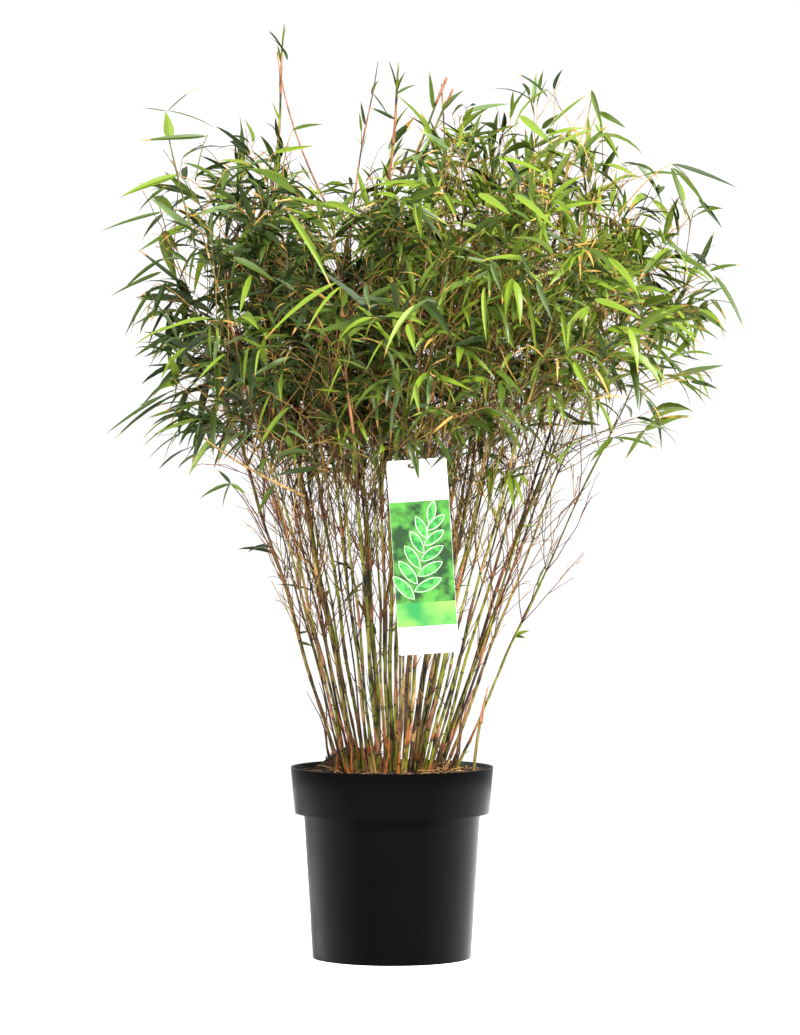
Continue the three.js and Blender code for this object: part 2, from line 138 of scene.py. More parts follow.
def blendTones(tree, factor, dark, light):
    return addNode(tree, "Mix", {"Factor": factor, "A": dark, "B": light}, data_type="RGBA")["Result"]


def reliefOf(tree, height, distance, strength=1.0):
    return addNode(tree, "Bump", {"Height": height, "Distance": distance, "Strength": strength})["Normal"]


def newMaterial(name):
    material = bpy.data.materials.new(name)
    material.use_nodes = True
    return material, material.node_tree, material.node_tree.nodes["Principled BSDF"]


# Two tones that run into each other in streaks along the plant, with a fine relief to match.
streaks = {
    "detail": 4,
    "patchScale": 26,
    "patchWeight": 0.7,
    "dark": 0.68,                # where the noise is all dark, and all light
    "light": 1.0,
    "roughness": (0.62, 0.42),   # of the dark and of the light tone
    "specular": 0.16,
    "relief": 0.0002,
    "reliefStrength": 0.6,
    "stretch": 0.06,
}


def buildStreaks():
    tree = bpy.data.node_groups.new("fibreStreaks", "ShaderNodeTree")
    for side, kind, labels in (
        ("INPUT", "NodeSocketColor", ("Light", "Dark")),
        ("INPUT", "NodeSocketFloat", ("Scale", "Stretch")),
        ("OUTPUT", "NodeSocketColor", ("Color",)),
        ("OUTPUT", "NodeSocketFloat", ("Height", "Roughness")),
    ):
        for label in labels:
            tree.interface.new_socket(label, in_out=side, socket_type=kind)
    given = tree.nodes.new("NodeGroupInput").outputs
    place = addNode(tree, "TexCoord", {})["Object"]
    squeeze = addNode(tree, "CombineXYZ", {"X": 1, "Y": 1, "Z": given["Stretch"]})["Vector"]
    drawn = addNode(tree, "VectorMath", {0: place, 1: squeeze}, operation="MULTIPLY")["Vector"]
    fibre = {"Vector": drawn, "Scale": given["Scale"], "Detail": streaks["detail"]}
    grain = addNode(tree, "TexNoise", fibre)["Fac"]
    patches = noiseOver(tree, streaks["patchScale"])
    parts = {0: patches, 1: streaks["patchWeight"], 2: grain}
    both = addNode(tree, "Math", parts, operation="MULTIPLY_ADD")["Value"]
    spread = ranged(tree, both, streaks["dark"], streaks["light"])
    setInputs(tree.nodes.new("NodeGroupOutput"), {
        "Color": blendTones(tree, spread, given["Dark"], given["Light"]),
        "Height": grain,
        "Roughness": ranged(tree, spread, to=streaks["roughness"]),
    })
    return tree


fibreStreaks = buildStreaks()


def streakedMaterial(name, light, dark, scale=260.0, stretch=streaks["stretch"]):
    material, tree, shader = newMaterial(name)
    given = {"Light": linear(*light), "Dark": linear(*dark), "Scale": scale, "Stretch": stretch}
    made = addNode(tree, "Group", given, node_tree=fibreStreaks)
    setInputs(shader, {
        "Specular IOR Level": streaks["specular"],
        "Base Color": made["Color"],
        "Roughness": made["Roughness"],
        "Normal": reliefOf(tree, made["Height"], streaks["relief"], streaks["reliefStrength"]),
    })
    return material


# The clump's own rule, the same as the solids follow.

soilTop = 0.261
goldenAngle = math.pi * (3 - math.sqrt(5))

# An oval of culms at the compost that opens evenly upwards: half width there, and growth for each metre.
fan = {
    "right": (0.09, 0.45),
    "left": (0.086, 0.335),
    "depth": (0.076, 0.335),
    "arch": 0.024,
}

crown = {
    "top": 1.018,
    # Place along X, rise and spread of each lobe.
    "lobes": [(-0.25, 0.072, 0.1), (0.02, 0.066, 0.07), (0.235, 0.132, 0.14)],
    "rimDrop": 0.075,
    "tipSpread": 0.04,
    "overTip": 0.08,
    "reachRight": 0.472,
    "reachLeft": 0.372,
    "reachDepth": 0.4,
    "underside": 0.585,
    "undersideRise": 0.14,
    "rightRise": 0.06,
    "strayShare": 0.22,
    "strayReach": (1.12, 1.05),  # to the left and to the right
    "strayDepth": 0.415,
    "strayOverRoof": 0.036,
}
# Here the leaves stay lower: place along X, spread and depth.
hollows = [(-0.075, 0.045, 0.075), (0.35, 0.055, 0.06)]

# Young shoots that stand out of the crown: where each leaves it along X, and the place and height of
# its tip.
leaders = [
    (-0.176, -0.15, 1.304),
    (-0.056, -0.02, 1.262),
    (-0.005, 0.009, 1.238),
    (0.036, 0.069, 1.222),
]
preferInner = 0.22

leafyCulms = {"count": 22, "turn": -0.134, "share": 1.0, "seed": 43, "girth": 0.77, "lowered": 0.0}
plainCulms = {"count": 12, "turn": 3.56, "share": 0.93, "seed": 977, "girth": 0.77, "lowered": 0.1}
fineCulms = {"count": 24, "turn": 1.27, "share": 1.0, "seed": 5101, "girth": 0.6, "lowered": 0.16}

culmForm = {
    "footRadius": 0.0031,
    "radiusSpread": 0.001,
    "tipShare": 0.3,
    "leaderTipShare": 0.5,
    "flare": 0.25,
    "flareHeight": 0.014,
    "bow": 0.007,
    "waver": 0.0016,
    "wavelength": 0.21,
    "sunk": 0.006,
    "sides": 9,
    "seedStep": 131,
    "stepBack": 0.05,      # by which a fine culm makes room for the label
}


def seededDraw(seed):
    # The same repeatable stream of numbers from 0 to 1 as the solids use.
    state = seed
    def draw():
        nonlocal state
        state = (state * 1664525 + 1013904223) % 4294967296
        return state / 4294967296
    draw()
    draw()
    return draw


def fanWidths(z, side):
    foot, slope = fan["left"] if side < 0 else fan["right"]
    deepFoot, deepSlope = fan["depth"]
    above = np.maximum(0, z - soilTop)
    arch = fan["arch"] * (above / (crown["top"] - soilTop)) ** 3
    return foot + slope * above + arch, deepFoot + deepSlope * above + arch


def crownTop(x):
    top = crown["top"]
    for place, rise, spread in crown["lobes"]:
        top = top + rise * np.exp(-(((x - place) / spread) ** 2))
    return top


def crownShare(points):
    # How far out a point lies, 0 on the middle line and 1 at the crown's rim.
    x, y = points[..., 0], points[..., 1]
    reach = np.where(x > 0, crown["reachRight"], crown["reachLeft"])
    return np.hypot(x / reach, y / crown["reachDepth"])


def crownRoof(points):
    x = points[..., 0]
    dip = sum(depth * np.exp(-(((x - place) / spread) ** 2)) for place, spread, depth in hollows)
    return crownTop(x) + crown["overTip"] - dip - crown["rimDrop"] * crownShare(points) ** 6


def crownFloor(points):
    right = np.maximum(0, points[..., 0] / crown["reachRight"])
    rise = crown["undersideRise"] * crownShare(points) ** 2
    return crown["underside"] + rise + crown["rightRise"] * right ** 2


def layOutCulms(kind):
    culms = []
    for i in range(kind["count"]):
        draw = seededDraw(kind["seed"] + culmForm["seedStep"] * i)
        share = math.sqrt((i + 0.5) / kind["count"]) * kind["share"]
        angle = i * goldenAngle + kind["turn"]
        ray = (share * math.cos(angle), share * math.sin(angle))
        bow = culmForm["bow"] * (draw() - 0.5)
        radius = culmForm["footRadius"] + culmForm["radiusSpread"] * (2 * draw() - 1)
        tipX = ray[0] * fanWidths(crown["top"], ray[0])[0]
        tip = float(crownTop(tipX)) - crown["rimDrop"] * share ** 6 - crown["tipSpread"] * draw()
        tip -= kind["lowered"] * draw()
        culms.append({
            "share": share,
            "angle": angle,
            "ray": ray,
            "bow": bow,
            "radius": radius * kind["girth"],
            "leafyTip": tip,
            "tip": tip,
            "drift": 0.0,
            "phase": 2 * math.pi * draw(),
        })
    return culms


def culmCentre(culm, z):
    z = np.asarray(z, float)
    across, deep = fanWidths(z, culm["ray"][0])
    bow = culm["bow"] * np.sin(math.pi * (z - soilTop) / (crown["top"] - soilTop))
    lean = 0.0
    if culm["drift"]:
        lean = culm["drift"] * np.maximum(0, z - culm["leafyTip"]) / (culm["tip"] - culm["leafyTip"])
    turn = 2 * math.pi * z / culmForm["wavelength"] + culm["phase"]
    x = culm["ray"][0] * across - math.sin(culm["angle"]) * bow + lean + culmForm["waver"] * np.sin(turn)
    y = culm["ray"][1] * deep + math.cos(culm["angle"]) * bow + culmForm["waver"] * np.sin(1.3 * turn)
    return np.stack((x, y, z), axis=-1)


def culmRadius(culm, z):
    rise = (z - soilTop) / (culm["tip"] - soilTop)
    flare = 1 + culmForm["flare"] * np.clip(1 - (z - soilTop) / culmForm["flareHeight"], 0, 1)
    tipShare = culmForm["leaderTipShare" if culm["drift"] else "tipShare"]
    return culm["radius"] * (1 - (1 - tipShare) * rise) * flare


labelLow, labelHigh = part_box("label")
labelPlace = {
    "y": (labelLow.y + labelHigh.y) / 2,
    "x": 0.042,
    "z": 0.567,
    "lean": math.radians(3.8),
    "width": 0.081,
    "length": 0.263,
    "overhang": 0.045,  # how far leaves may hang down over its top
    "beside": 0.006,    # room for what passes beside, behind and in front of it
    "behind": 0.004,
    "inFront": 0.003,
}


def clearOfLabel(lines, overhang):
    # Nothing crosses the label's face, except that what may hang over its top edge does so in front of it.
    shift = (labelPlace["z"] - lines[..., 2]) * math.sin(labelPlace["lean"])
    across = np.abs(lines[..., 0] - labelPlace["x"] - shift)
    up = lines[..., 2] - labelPlace["z"]
    half = labelPlace["length"] / 2
    beside = across > labelPlace["width"] / 2 + labelPlace["beside"]
    behind = lines[..., 1] > labelPlace["y"] + labelPlace["behind"]
    hanging = (up > half - overhang) & (lines[..., 1] < labelPlace["y"] - labelPlace["inFront"])
    return (beside | behind | hanging | (np.abs(up) > half)).all(axis=1)


leafy = layOutCulms(leafyCulms)
plain = layOutCulms(plainCulms)
fine = layOutCulms(fineCulms)
culms = leafy + plain + fine
# A fine culm that would cross the label stands further back.
for culm in fine:
    while not clearOfLabel(culmCentre(culm, np.linspace(soilTop, culm["tip"], 60)[None]), 0).all():
        culm["ray"] = (culm["ray"][0], culm["ray"][1] + culmForm["stepBack"])

# Each leader raises the nearest inner culm that isn't raised yet, and leans it above the crown.
for leaderFoot, leaderX, leaderTop in leaders:
    def gap(one):
        return abs(culmCentre(one, one["tip"])[0] - leaderFoot) + preferInner * one["share"] ** 2
    nearest = min((one for one in leafy if not one["drift"]), key=gap)
    nearest["drift"] = leaderX - float(culmCentre(nearest, leaderTop)[0])
    nearest["tip"] = leaderTop

chance = np.random.default_rng(20)


def spreadOf(low, high, count):
    return chance.uniform(low, high, count)


# Culms: jointed canes with a dark ring at each node and papery sheaths over the joints.

jointing = {
    "firstNode": (0.012, 0.05),     # above the compost
    "bareTip": 0.02,
    "footGap": 0.046,      # from node to node near the compost
    "middleGap": 0.082,    # and half way up
    "topGap": 0.05,
    "lowPart": 0.35,       # the share of a culm over which the gaps widen
    "gapSpread": (0.85, 1.15),
    "ringHeight": 0.0017,
    "ringEdge": 0.0006,
    "ringFoot": 0.0014,
    "ringSwells": np.array([0.95, 1.05, 1.1, 1.13, 1.13, 0.9]),
    # Below each node's dark ring, the dark runs down as painted shade.
    "shade": (0.0008, 0.0026),  # how far the dark runs down from a node
    "sheathed": 0.5,       # share of the joints that keep a sheath
    "rusty": 0.3,          # share of the lowest joints whose sheath is rust red
    "sheathLength": (0.35, 1.0),
    "sheathBack": 0.25,    # length of a sheath at its low side against its tongue
    "sheathProud": 0.0004,
    "sheathSides": 12,
    "sheathLift": 0.0008,
    "tonguePower": 1.6,
    # On a leader, from below the crown's roof to its own tip, every joint keeps a long sheath.
    "leaderSheathed": (0.06, 0.09),
    "leaderSheathLength": 0.95,
    # Along a sheath: where its rings stand, and how proud they are.
    "sheathRings": np.array([0.0, 0.03, 0.3, 0.65, 0.97, 1.0]),
    "sheathProfile": np.array([-1.5, 1.0, 1.1, 1.0, 0.7, -1.5]),
    # Round a node: how far from it the cane's rings stand, and how much it swells there.
    "caneSteps": (-0.0045, -0.001, 0.0012, 0.005, 0.024),
    "caneSwells": (1.0, 1.1, 1.1, 0.96, 1.0),
    "endSwell": 0.5,
    "caneShares": (0.38, 0.28, 0.34),     # of the canes, by colour
    "sheathShares": (0.32, 0.2, 0.48),    # and of the sheaths
}


def nodeHeights(culm):
    heights = []
    z = soilTop + chance.uniform(*jointing["firstNode"])
    while z < culm["tip"] - jointing["bareTip"]:
        heights.append(z)
        level = (z - soilTop) / (culm["tip"] - soilTop)
        low, middle, top = jointing["footGap"], jointing["middleGap"], jointing["topGap"]
        gap = middle + (top - middle) * (2 * level - 1)
        if level < 0.5:
            gap = low + (middle - low) * min(1, level / jointing["lowPart"])
        z += gap * chance.uniform(*jointing["gapSpread"])
    return heights


def ringsAlong(culm, heights, radii, sides):
    # Rings of points round the culm. A ring's height may differ from side to side.
    heights = np.reshape(heights, (len(heights), -1)) + np.zeros((1, sides))
    radii = np.reshape(radii, (len(radii), -1))[..., None]
    centre = culmCentre(culm, heights)
    along = culmCentre(culm, heights + 0.004) - centre
    first = unit(np.cross(along, (0.0, 1.0, 0.0)))
    second = unit(np.cross(along, first))
    turn = (np.arange(sides) * 2 * math.pi / sides)[None, :, None]
    return centre + radii * (np.cos(turn) * first + np.sin(turn) * second)


class TubeHeap:
    # Gathers closed tubes of one kind into the arrays of a single mesh.
    def __init__(self):
        self.points = []
        self.faces = []
        self.count = 0

    def add(self, rings):
        steps, sides = rings.shape[:2]
        self.points.append(rings.reshape(-1, 3))
        self.faces += tubeFaces(self.count, steps, sides)
        self.count += steps * sides

    def mesh(self, name):
        return meshFromArrays(name, np.concatenate(self.points), self.faces)


culmPaints = {
    "greenCulms": streakedMaterial("culmGreen", (118, 118, 34), (16, 20, 6)),
    "oliveCulms": streakedMaterial("culmOlive", (124, 104, 52), (26, 22, 12)),
    "darkCulms": streakedMaterial("culmDark", (72, 50, 30), (12, 10, 7)),
}
sheathPaints = {
    "salmonSheaths": streakedMaterial("sheathSalmon", (154, 104, 72), (80, 50, 34), 420),
    "strawSheaths": streakedMaterial("sheathStraw", (160, 128, 76), (88, 66, 36), 420),
    "brownSheaths": streakedMaterial("sheathBrown", (92, 64, 38), (26, 20, 13), 420),
    "rustSheaths": streakedMaterial("sheathRust", (150, 88, 40), (88, 48, 26), 420),
}
ringPaint = streakedMaterial("nodeRing", (72, 54, 36), (34, 26, 18), 500, 1.0)

culmHeaps = {name: TubeHeap() for name in culmPaints}
sheathHeaps = {name: TubeHeap() for name in sheathPaints}
ringHeap = TubeHeap()


# The cane itself narrows a little above each node and swells into it.
def growCane(culm):
    heights = [soilTop - culmForm["sunk"], soilTop + 0.006]
    swells = [1.0, 1.0]
    for z in culm["nodes"]:
        heights += [z + step for step in jointing["caneSteps"]]
        swells += jointing["caneSwells"]
    heights.append(culm["tip"])
    swells.append(jointing["endSwell"])
    heights = np.array(heights)
    radii = culmRadius(culm, heights) * np.array(swells)
    culmHeaps[culm["paint"]].add(ringsAlong(culm, heights, radii, culmForm["sides"]))


def growRing(culm, z):
    high, edge = jointing["ringHeight"], jointing["ringEdge"]
    shade = chance.uniform(*jointing["shade"])
    heights = z + np.array([-shade, -shade + edge, -jointing["ringFoot"], -edge, high - edge, high])
    ringHeap.add(ringsAlong(culm, heights, culmRadius(culm, z) * jointing["ringSwells"], culmForm["sides"]))


# A sheath wraps the joint from its node up, and runs out in a tongue on one side.
def growSheath(culm, z, length, heap):
    sides = jointing["sheathSides"]
    turn = np.arange(sides) * 2 * math.pi / sides
    tongue = (0.5 + 0.5 * np.cos(turn - chance.uniform(0, 2 * math.pi))) ** jointing["tonguePower"]
    reach = jointing["sheathBack"] + (1 - jointing["sheathBack"]) * tongue
    heights = z + jointing["sheathLift"] + length * jointing["sheathRings"][:, None] * reach[None]
    proud = jointing["sheathProud"] * jointing["sheathProfile"]
    heap.add(ringsAlong(culm, heights, culmRadius(culm, heights) + proud[:, None], sides))


belowRoof, belowTip = jointing["leaderSheathed"]
for culm in culms:
    culm["nodes"] = nodeHeights(culm)
    culm["paint"] = chance.choice(list(culmPaints), p=jointing["caneShares"])
    growCane(culm)
    for place, z in enumerate(culm["nodes"]):
        growRing(culm, z)
        after = culm["nodes"][place + 1] if place + 1 < len(culm["nodes"]) else culm["tip"]
        length = (after - z) * chance.uniform(*jointing["sheathLength"])
        kind = chance.choice(list(sheathPaints)[:3], p=jointing["sheathShares"])
        if culm["leafyTip"] - belowRoof < z < culm["tip"] - belowTip:
            growSheath(culm, z, (after - z) * jointing["leaderSheathLength"], sheathHeaps["salmonSheaths"])
        elif place == 0 and chance.random() < jointing["rusty"]:
            growSheath(culm, z, length, sheathHeaps["rustSheaths"])
        elif place == 0 or chance.random() < jointing["sheathed"]:
            growSheath(culm, z, length, sheathHeaps[kind])

culmNodes = [name for name in nodes if name.startswith("culm_")]
for name, heap in culmHeaps.items():
    addPiece(name, heap.mesh(name), culmPaints[name], culmNodes)
for name, heap in sheathHeaps.items():
    addPiece(name, heap.mesh(name), sheathPaints[name])
addPiece("nodeRings", ringHeap.mesh("nodeRings"), ringPaint)
print("culms:", len(culms))


# Branches: at each upper node a few twigs, which carry finer twigs.

branching = {
    "bareFrom": (0.4, 0.55),   # the lowest node that still keeps a bare twig
    "leafyFrom": 0.62,
    "bareCount": (2, 3),
    "leafyCount": (2, 3),
    "innerBareCount": (0, 2),   # beside the leafy ones
    "bareLength": (0.06, 0.2),
    # Lower down they are shorter: from which height, over which, and the least share.
    "bareRise": (0.25, 0.27, 0.4),
    "length": (0.2, 0.085),     # at the crown's foot and at the culm's tip
    "topFrom": 0.06,            # how far below the culm's tip its highest twigs begin
    "top": {"length": 0.12, "away": (0.0, 0.6), "droop": (0.0, 0.9)},
    "away": (0.3, 0.85),        # how far a twig leans off its culm
    "bareAway": (0.15, 0.5),
    "droop": (0.1, 0.75),
    "bareDroop": (-0.3, 0.15),
    "yaw": (-0.35, 0.35),
    "turnedOut": 0.35,          # how much the twigs of an outer culm turn outwards
    "outerLonger": 0.25,
    "lengthSpread": (0.7, 1.15),
    "kink": 0.07,
    "footRadius": 0.0009,
    "tipRadius": 0.0005,
    "fineRadius": (0.0006, 0.0004),
    "twigletRadius": (0.00045, 0.0003),
    "stubs": 0.6,               # share of the lowest nodes that keep a stub
    "stubLength": (0.008, 0.06),
    "stubRise": (0.27, 0.14, 0.2),
    "stubAway": (0.3, 0.9),
    "leaderCount": (1, 2),
    "leaderAway": (0.15, 0.5),
    "leaderLength": (0.006, 0.026),
    "lowLeafy": 0.1,            # share of the bare twigs that keep a few small leaves
    "reach": 0.96,
    "overRoof": 0.02,
    "attempts": 5,              # at a length that fits, each shorter by this share
    "shorter": 0.8,
}


def hangingLines(some, shares, bend=1.35, kink=0.0):
    # Lines that leave their roots at a heading and a pitch and sink more and more under their own weight.
    root, heading, pitch, droop, yaw, length = (
        some[name] for name in ("root", "heading", "pitch", "droop", "yaw", "length")
    )
    middle = (shares[1:] + shares[:-1]) / 2
    zigzag = kink * np.where(np.floor(middle * 5) % 2, 1, -1)[None]
    sinking = np.clip(pitch[:, None] - droop[:, None] * middle ** bend + zigzag, -1.45, 1.55)
    turning = heading[:, None] + yaw[:, None] * middle + 2 * zigzag
    step = np.diff(shares) * length[:, None]
    flat = np.cos(sinking) * step
    moves = np.stack((flat * np.cos(turning), flat * np.sin(turning), np.sin(sinking) * step), axis=2)
    line = np.cumsum(moves, axis=1) + root[:, None]
    return np.concatenate((root[:, None], line), axis=1), sinking, turning


def twigMesh(name, lines, footRadius, tipRadius, sides=3):
    count, steps = lines.shape[:2]
    along = lines[:, -1] - lines[:, 0]
    first = unit(np.cross(along, (0.05, 0.02, 1.0)))
    second = unit(np.cross(first, along))
    turn = (np.arange(sides) * 2 * math.pi / sides)[None, :, None]
    around = np.cos(turn) * first[:, None] + np.sin(turn) * second[:, None]
    radius = np.linspace(1, 0, steps)[None] * (footRadius - tipRadius)[:, None] + tipRadius[:, None]
    points = lines[:, :, None] + radius[:, :, None, None] * around[:, None]
    return meshFromArrays(name, points, tubeFaces(np.arange(count) * steps * sides, steps, sides))


def keep(twigs, wanted):
    return {name: values[wanted] for name, values in twigs.items()}


def join(parts):
    return {name: np.concatenate([part[name] for part in parts]) for name in parts[0]}


# The twigs at one node of a culm spread round it, more of them on its outer side.
def twigsAtNode(culm, z, spin, kind):
    centre = culmCentre(culm, z)
    ahead = culmCentre(culm, z + 0.01) - centre
    leanHeading = math.atan2(ahead[1], ahead[0])
    lean = math.atan2(math.hypot(ahead[0], ahead[1]), ahead[2])
    rows = []
    for one in range(kind["count"]):
        azimuth = spin + one * 2 * math.pi / kind["count"] + chance.uniform(-0.5, 0.5)
        off = math.remainder(azimuth - culm["angle"], 2 * math.pi)
        azimuth = culm["angle"] + off * (1 - branching["turnedOut"] * culm["share"] ** 2)
        outward = max(0, math.cos(azimuth - culm["angle"])) * culm["share"] ** 2
        pitch = math.pi / 2 - lean * math.cos(azimuth - leanHeading) - chance.uniform(*kind["away"])
        length = kind["length"] * chance.uniform(*branching["lengthSpread"])
        length *= 1 + branching["outerLonger"] * outward
        droop = chance.uniform(*kind["droop"])
        rows.append((*centre, azimuth, pitch, length, droop, kind["leafy"], kind["free"]))
    return rows


def countOf(bounds):
    return int(chance.integers(bounds[0], bounds[1] + 1))


# Low down a node may keep a stub, half way up it has bare twigs, in the crown leafy and bare ones,
# and on a leader above the crown short steep ones.
def kindsOfTwigs(culm, z, bareFrom, leafTop):
    bare = {
        "count": countOf(branching["bareCount"]),
        "length": chance.uniform(*branching["bareLength"]) * ramp(z, *branching["bareRise"]),
        "away": branching["bareAway"],
        "droop": branching["bareDroop"],
        "leafy": 0,
        "free": 0,
    }
    if z > leafTop:
        length = chance.uniform(*branching["leaderLength"])
        leader = {"count": countOf(branching["leaderCount"]), "away": branching["leaderAway"]}
        return [bare | leader | {"length": length, "leafy": 1, "free": 1}]
    if z > branching["leafyFrom"] - 0.02 + 0.05 * culm["share"] ** 2:
        level = ramp(z, branching["leafyFrom"], leafTop - branching["leafyFrom"])
        long, short = branching["length"]
        leafy = {"count": countOf(branching["leafyCount"]), "length": long + (short - long) * level}
        leafy |= {"away": branching["away"], "droop": branching["droop"], "leafy": 1, "free": 0}
        if z > leafTop - branching["topFrom"]:
            leafy |= branching["top"]
        return [leafy, bare | {"count": countOf(branching["innerBareCount"])}]
    if z > bareFrom:
        leafy = int(chance.random() < branching["lowLeafy"])
        return [bare | {"leafy": leafy, "free": leafy}]
    length = chance.uniform(*branching["stubLength"]) * ramp(z, *branching["stubRise"])
    count = int(chance.random() < branching["stubs"])
    return [bare | {"count": count, "length": length, "away": branching["stubAway"]}]


def growBranches():
    rows = []
    for culm in culms:
        bareFrom = chance.uniform(*branching["bareFrom"])
        leafTop = culm["leafyTip"] - 0.004
        joints = [z for z in culm["nodes"] if abs(z - leafTop) > 0.01] + [leafTop]
        for place, z in enumerate(joints):
            for kind in kindsOfTwigs(culm, z, bareFrom, leafTop):
                rows += twigsAtNode(culm, z, place * goldenAngle + kind["leafy"], kind)
    return np.array(rows, float)


rows = growBranches()
branch = {"root": rows[:, :3], "yaw": spreadOf(*branching["yaw"], len(rows))}
branch |= dict(zip(("heading", "pitch", "length", "droop"), rows.T[3:7]))
branch |= {"leafy": rows[:, 7] > 0.5, "free": rows[:, 8] > 0.5}
branchShares = np.linspace(0, 1, 6)


def linesOf(twigs, shares=branchShares):
    return hangingLines(twigs, shares, kink=branching["kink"])


def endsOf(twigs):
    return linesOf(twigs)[0][:, -1]


# Twigs stop short of the crown's outline, so that it is drawn by the tips of single leaves.
def twigFits(twigs):
    ends = endsOf(twigs)
    inside = crownShare(ends) < branching["reach"]
    return inside & (twigs["free"] | (ends[:, 2] < crownRoof(ends) + branching["overRoof"]))


# A twig that would leave its space is shortened, and skipped if that doesn't bring it back.
def fitInCrown(twigs):
    for attempt in range(branching["attempts"]):
        twigs["length"] *= np.where(twigFits(twigs), 1, branching["shorter"])
    closely = np.linspace(0, 1, 26)
    return keep(twigs, twigFits(twigs) & clearOfLabel(linesOf(twigs, closely)[0], 0))


# Sprays are closest deep in the crown and to its left, and thin out to the right, the rim, the roof and
# below.
thinning = {
    "left": 0.71,
    "right": 0.63,
    "rim": 0.26,           # the share of the crown's reach over which sprays thin out
    "roof": 0.1,
    "floor": 0.09,
    "atRim": 0.49,
    "atRoof": 0.56,
    "bulge": (0.92, 0.11, 1.0),  # on the right: its height, half its depth, and how much denser
    "beside": 0.84,              # the rest of the right rim
    "lowRight": 0.42,           # below the crown's middle, a little right of the label
    # Round the leaders: place along X, spread, and what share is left out.
    "middleTop": (0.005, 0.075, 0.62),
    "patch": 13.0,              # how finely gaps and clusters alternate
    "patchDepth": 1.9,
    "patchBounds": (0.15, 1.6),
    "onLeader": 0.8,
    "edge": (0.62, 0.12),       # from which share of the reach, and how far under the roof, twigs go too
    "rightRim": (0.22, 0.12),   # where along X the right rim begins, and over which width
    "belowMiddle": ((0.84, 0.08), (0.08, 0.06), (0.37, 0.06)),    # the top and the two sides of that part
}


def sprayChance(twigs):
    ends = endsOf(twigs)
    x, z = ends[:, 0], ends[:, 2]
    side = ramp(x, -0.25, 0.5)
    rim = ramp(branching["reach"] - crownShare(ends), 0, thinning["rim"])
    roof = ramp(crownRoof(ends) - z, 0, thinning["roof"])
    edge = thinning["atRim"] + (1 - thinning["atRim"]) * rim
    edge *= thinning["atRoof"] + (1 - thinning["atRoof"]) * roof
    low = np.clip((z - crownFloor(ends)) / thinning["floor"] + 0.6 - 0.4 * ramp(side, 0, 0.4), 0, 1)
    patch = np.array([noise.noise(Vector(end) * thinning["patch"]) for end in ends])
    share = thinning["left"] + (thinning["right"] - thinning["left"]) * side
    height, depth, denser = thinning["bulge"]
    bulge = thinning["beside"] + denser * np.exp(-(((z - height) / depth) ** 2))
    share *= 1 + ramp(x, *thinning["rightRim"]) * (bulge - 1)
    (top, topSoft), (left, leftSoft), (right, rightSoft) = thinning["belowMiddle"]
    below = ramp(top - z, 0, topSoft) * ramp(x, left, leftSoft) * ramp(right - x, 0, rightSoft)
    share *= 1 + below * (thinning["lowRight"] - 1)
    place, spread, less = thinning["middleTop"]
    share *= 1 - less * np.exp(-(((x - place) / spread) ** 4)) * (roof < 1)
    likely = share * edge * low * np.clip(1 + thinning["patchDepth"] * patch, *thinning["patchBounds"])
    return np.where(twigs["free"], thinning["onLeader"], likely)


# A spray that is left out near the outline takes its twig along; deeper inside the twig stays, bare.
def thinOut(twigs, power):
    ends = endsOf(twigs)
    twigs["leafy"] = twigs["leafy"] & (chance.random(len(ends)) < sprayChance(twigs) ** power)
    farOut, under = thinning["edge"]
    nearEdge = (crownShare(ends) > farOut) | (ends[:, 2] > crownRoof(ends) - under)
    nearEdge &= ends[:, 2] > branching["leafyFrom"]
    return keep(twigs, twigs["leafy"] | ~nearEdge)


branch = fitInCrown(branch)
branch["grows"] = branch["leafy"]
branch = thinOut(branch, 0.5)


# Where side twigs leave their twig, its least length, their share of it, how far they spread, and how
# many of them grow on a leafy and on a bare twig.
sideTwigs = {
    "fine": {
        "at": (1, 2, 3, 4), "from": 0.05, "share": (0.3, 0.6), "spread": (0.4, 1.1), "grown": (0.85, 0.55),
    },
    "twiglet": {
        "at": (2, 3, 4), "from": 0.022, "share": (0.3, 0.65), "spread": (0.5, 1.2), "grown": (0.7, 0.28),
    },
}


# Side twigs leave a twig alternately to its left and right.
def growSideTwigs(twigs, rule):
    parts = []
    twigLines, pitches, headings = linesOf(twigs)
    count = len(twigLines)
    for place, at in enumerate(rule["at"]):
        side = (1 if place % 2 else -1) * np.where(twigs["grows"], 1, 0.5)
        part = {
            "root": twigLines[:, at],
            "heading": headings[:, at - 1] + side * spreadOf(*rule["spread"], count),
            "pitch": pitches[:, at - 1] + spreadOf(-0.35, 0.3, count),
            "length": twigs["length"] * spreadOf(*rule["share"], count),
            "droop": spreadOf(-0.1, 0.8, count),
            "yaw": spreadOf(-0.4, 0.4, count),
            "leafy": twigs["grows"],
            "grows": twigs["grows"],
            "free": twigs["free"],
        }
        grown = chance.random(count) < np.where(twigs["grows"], *rule["grown"])
        parts.append(keep(part, grown & (twigs["length"] > rule["from"]) & ~twigs["free"]))
    return join(parts)


fineTwigs = thinOut(fitInCrown(growSideTwigs(branch, sideTwigs["fine"])), 1.0)
twiglets = thinOut(fitInCrown(growSideTwigs(fineTwigs, sideTwigs["twiglet"])), 1.0)
for name, some in (("branches", branch), ("finer twigs", fineTwigs), ("twiglets", twiglets)):
    print(name + ":", len(some["length"]))


# Leaves: fans of narrow blades at the twigs' ends.

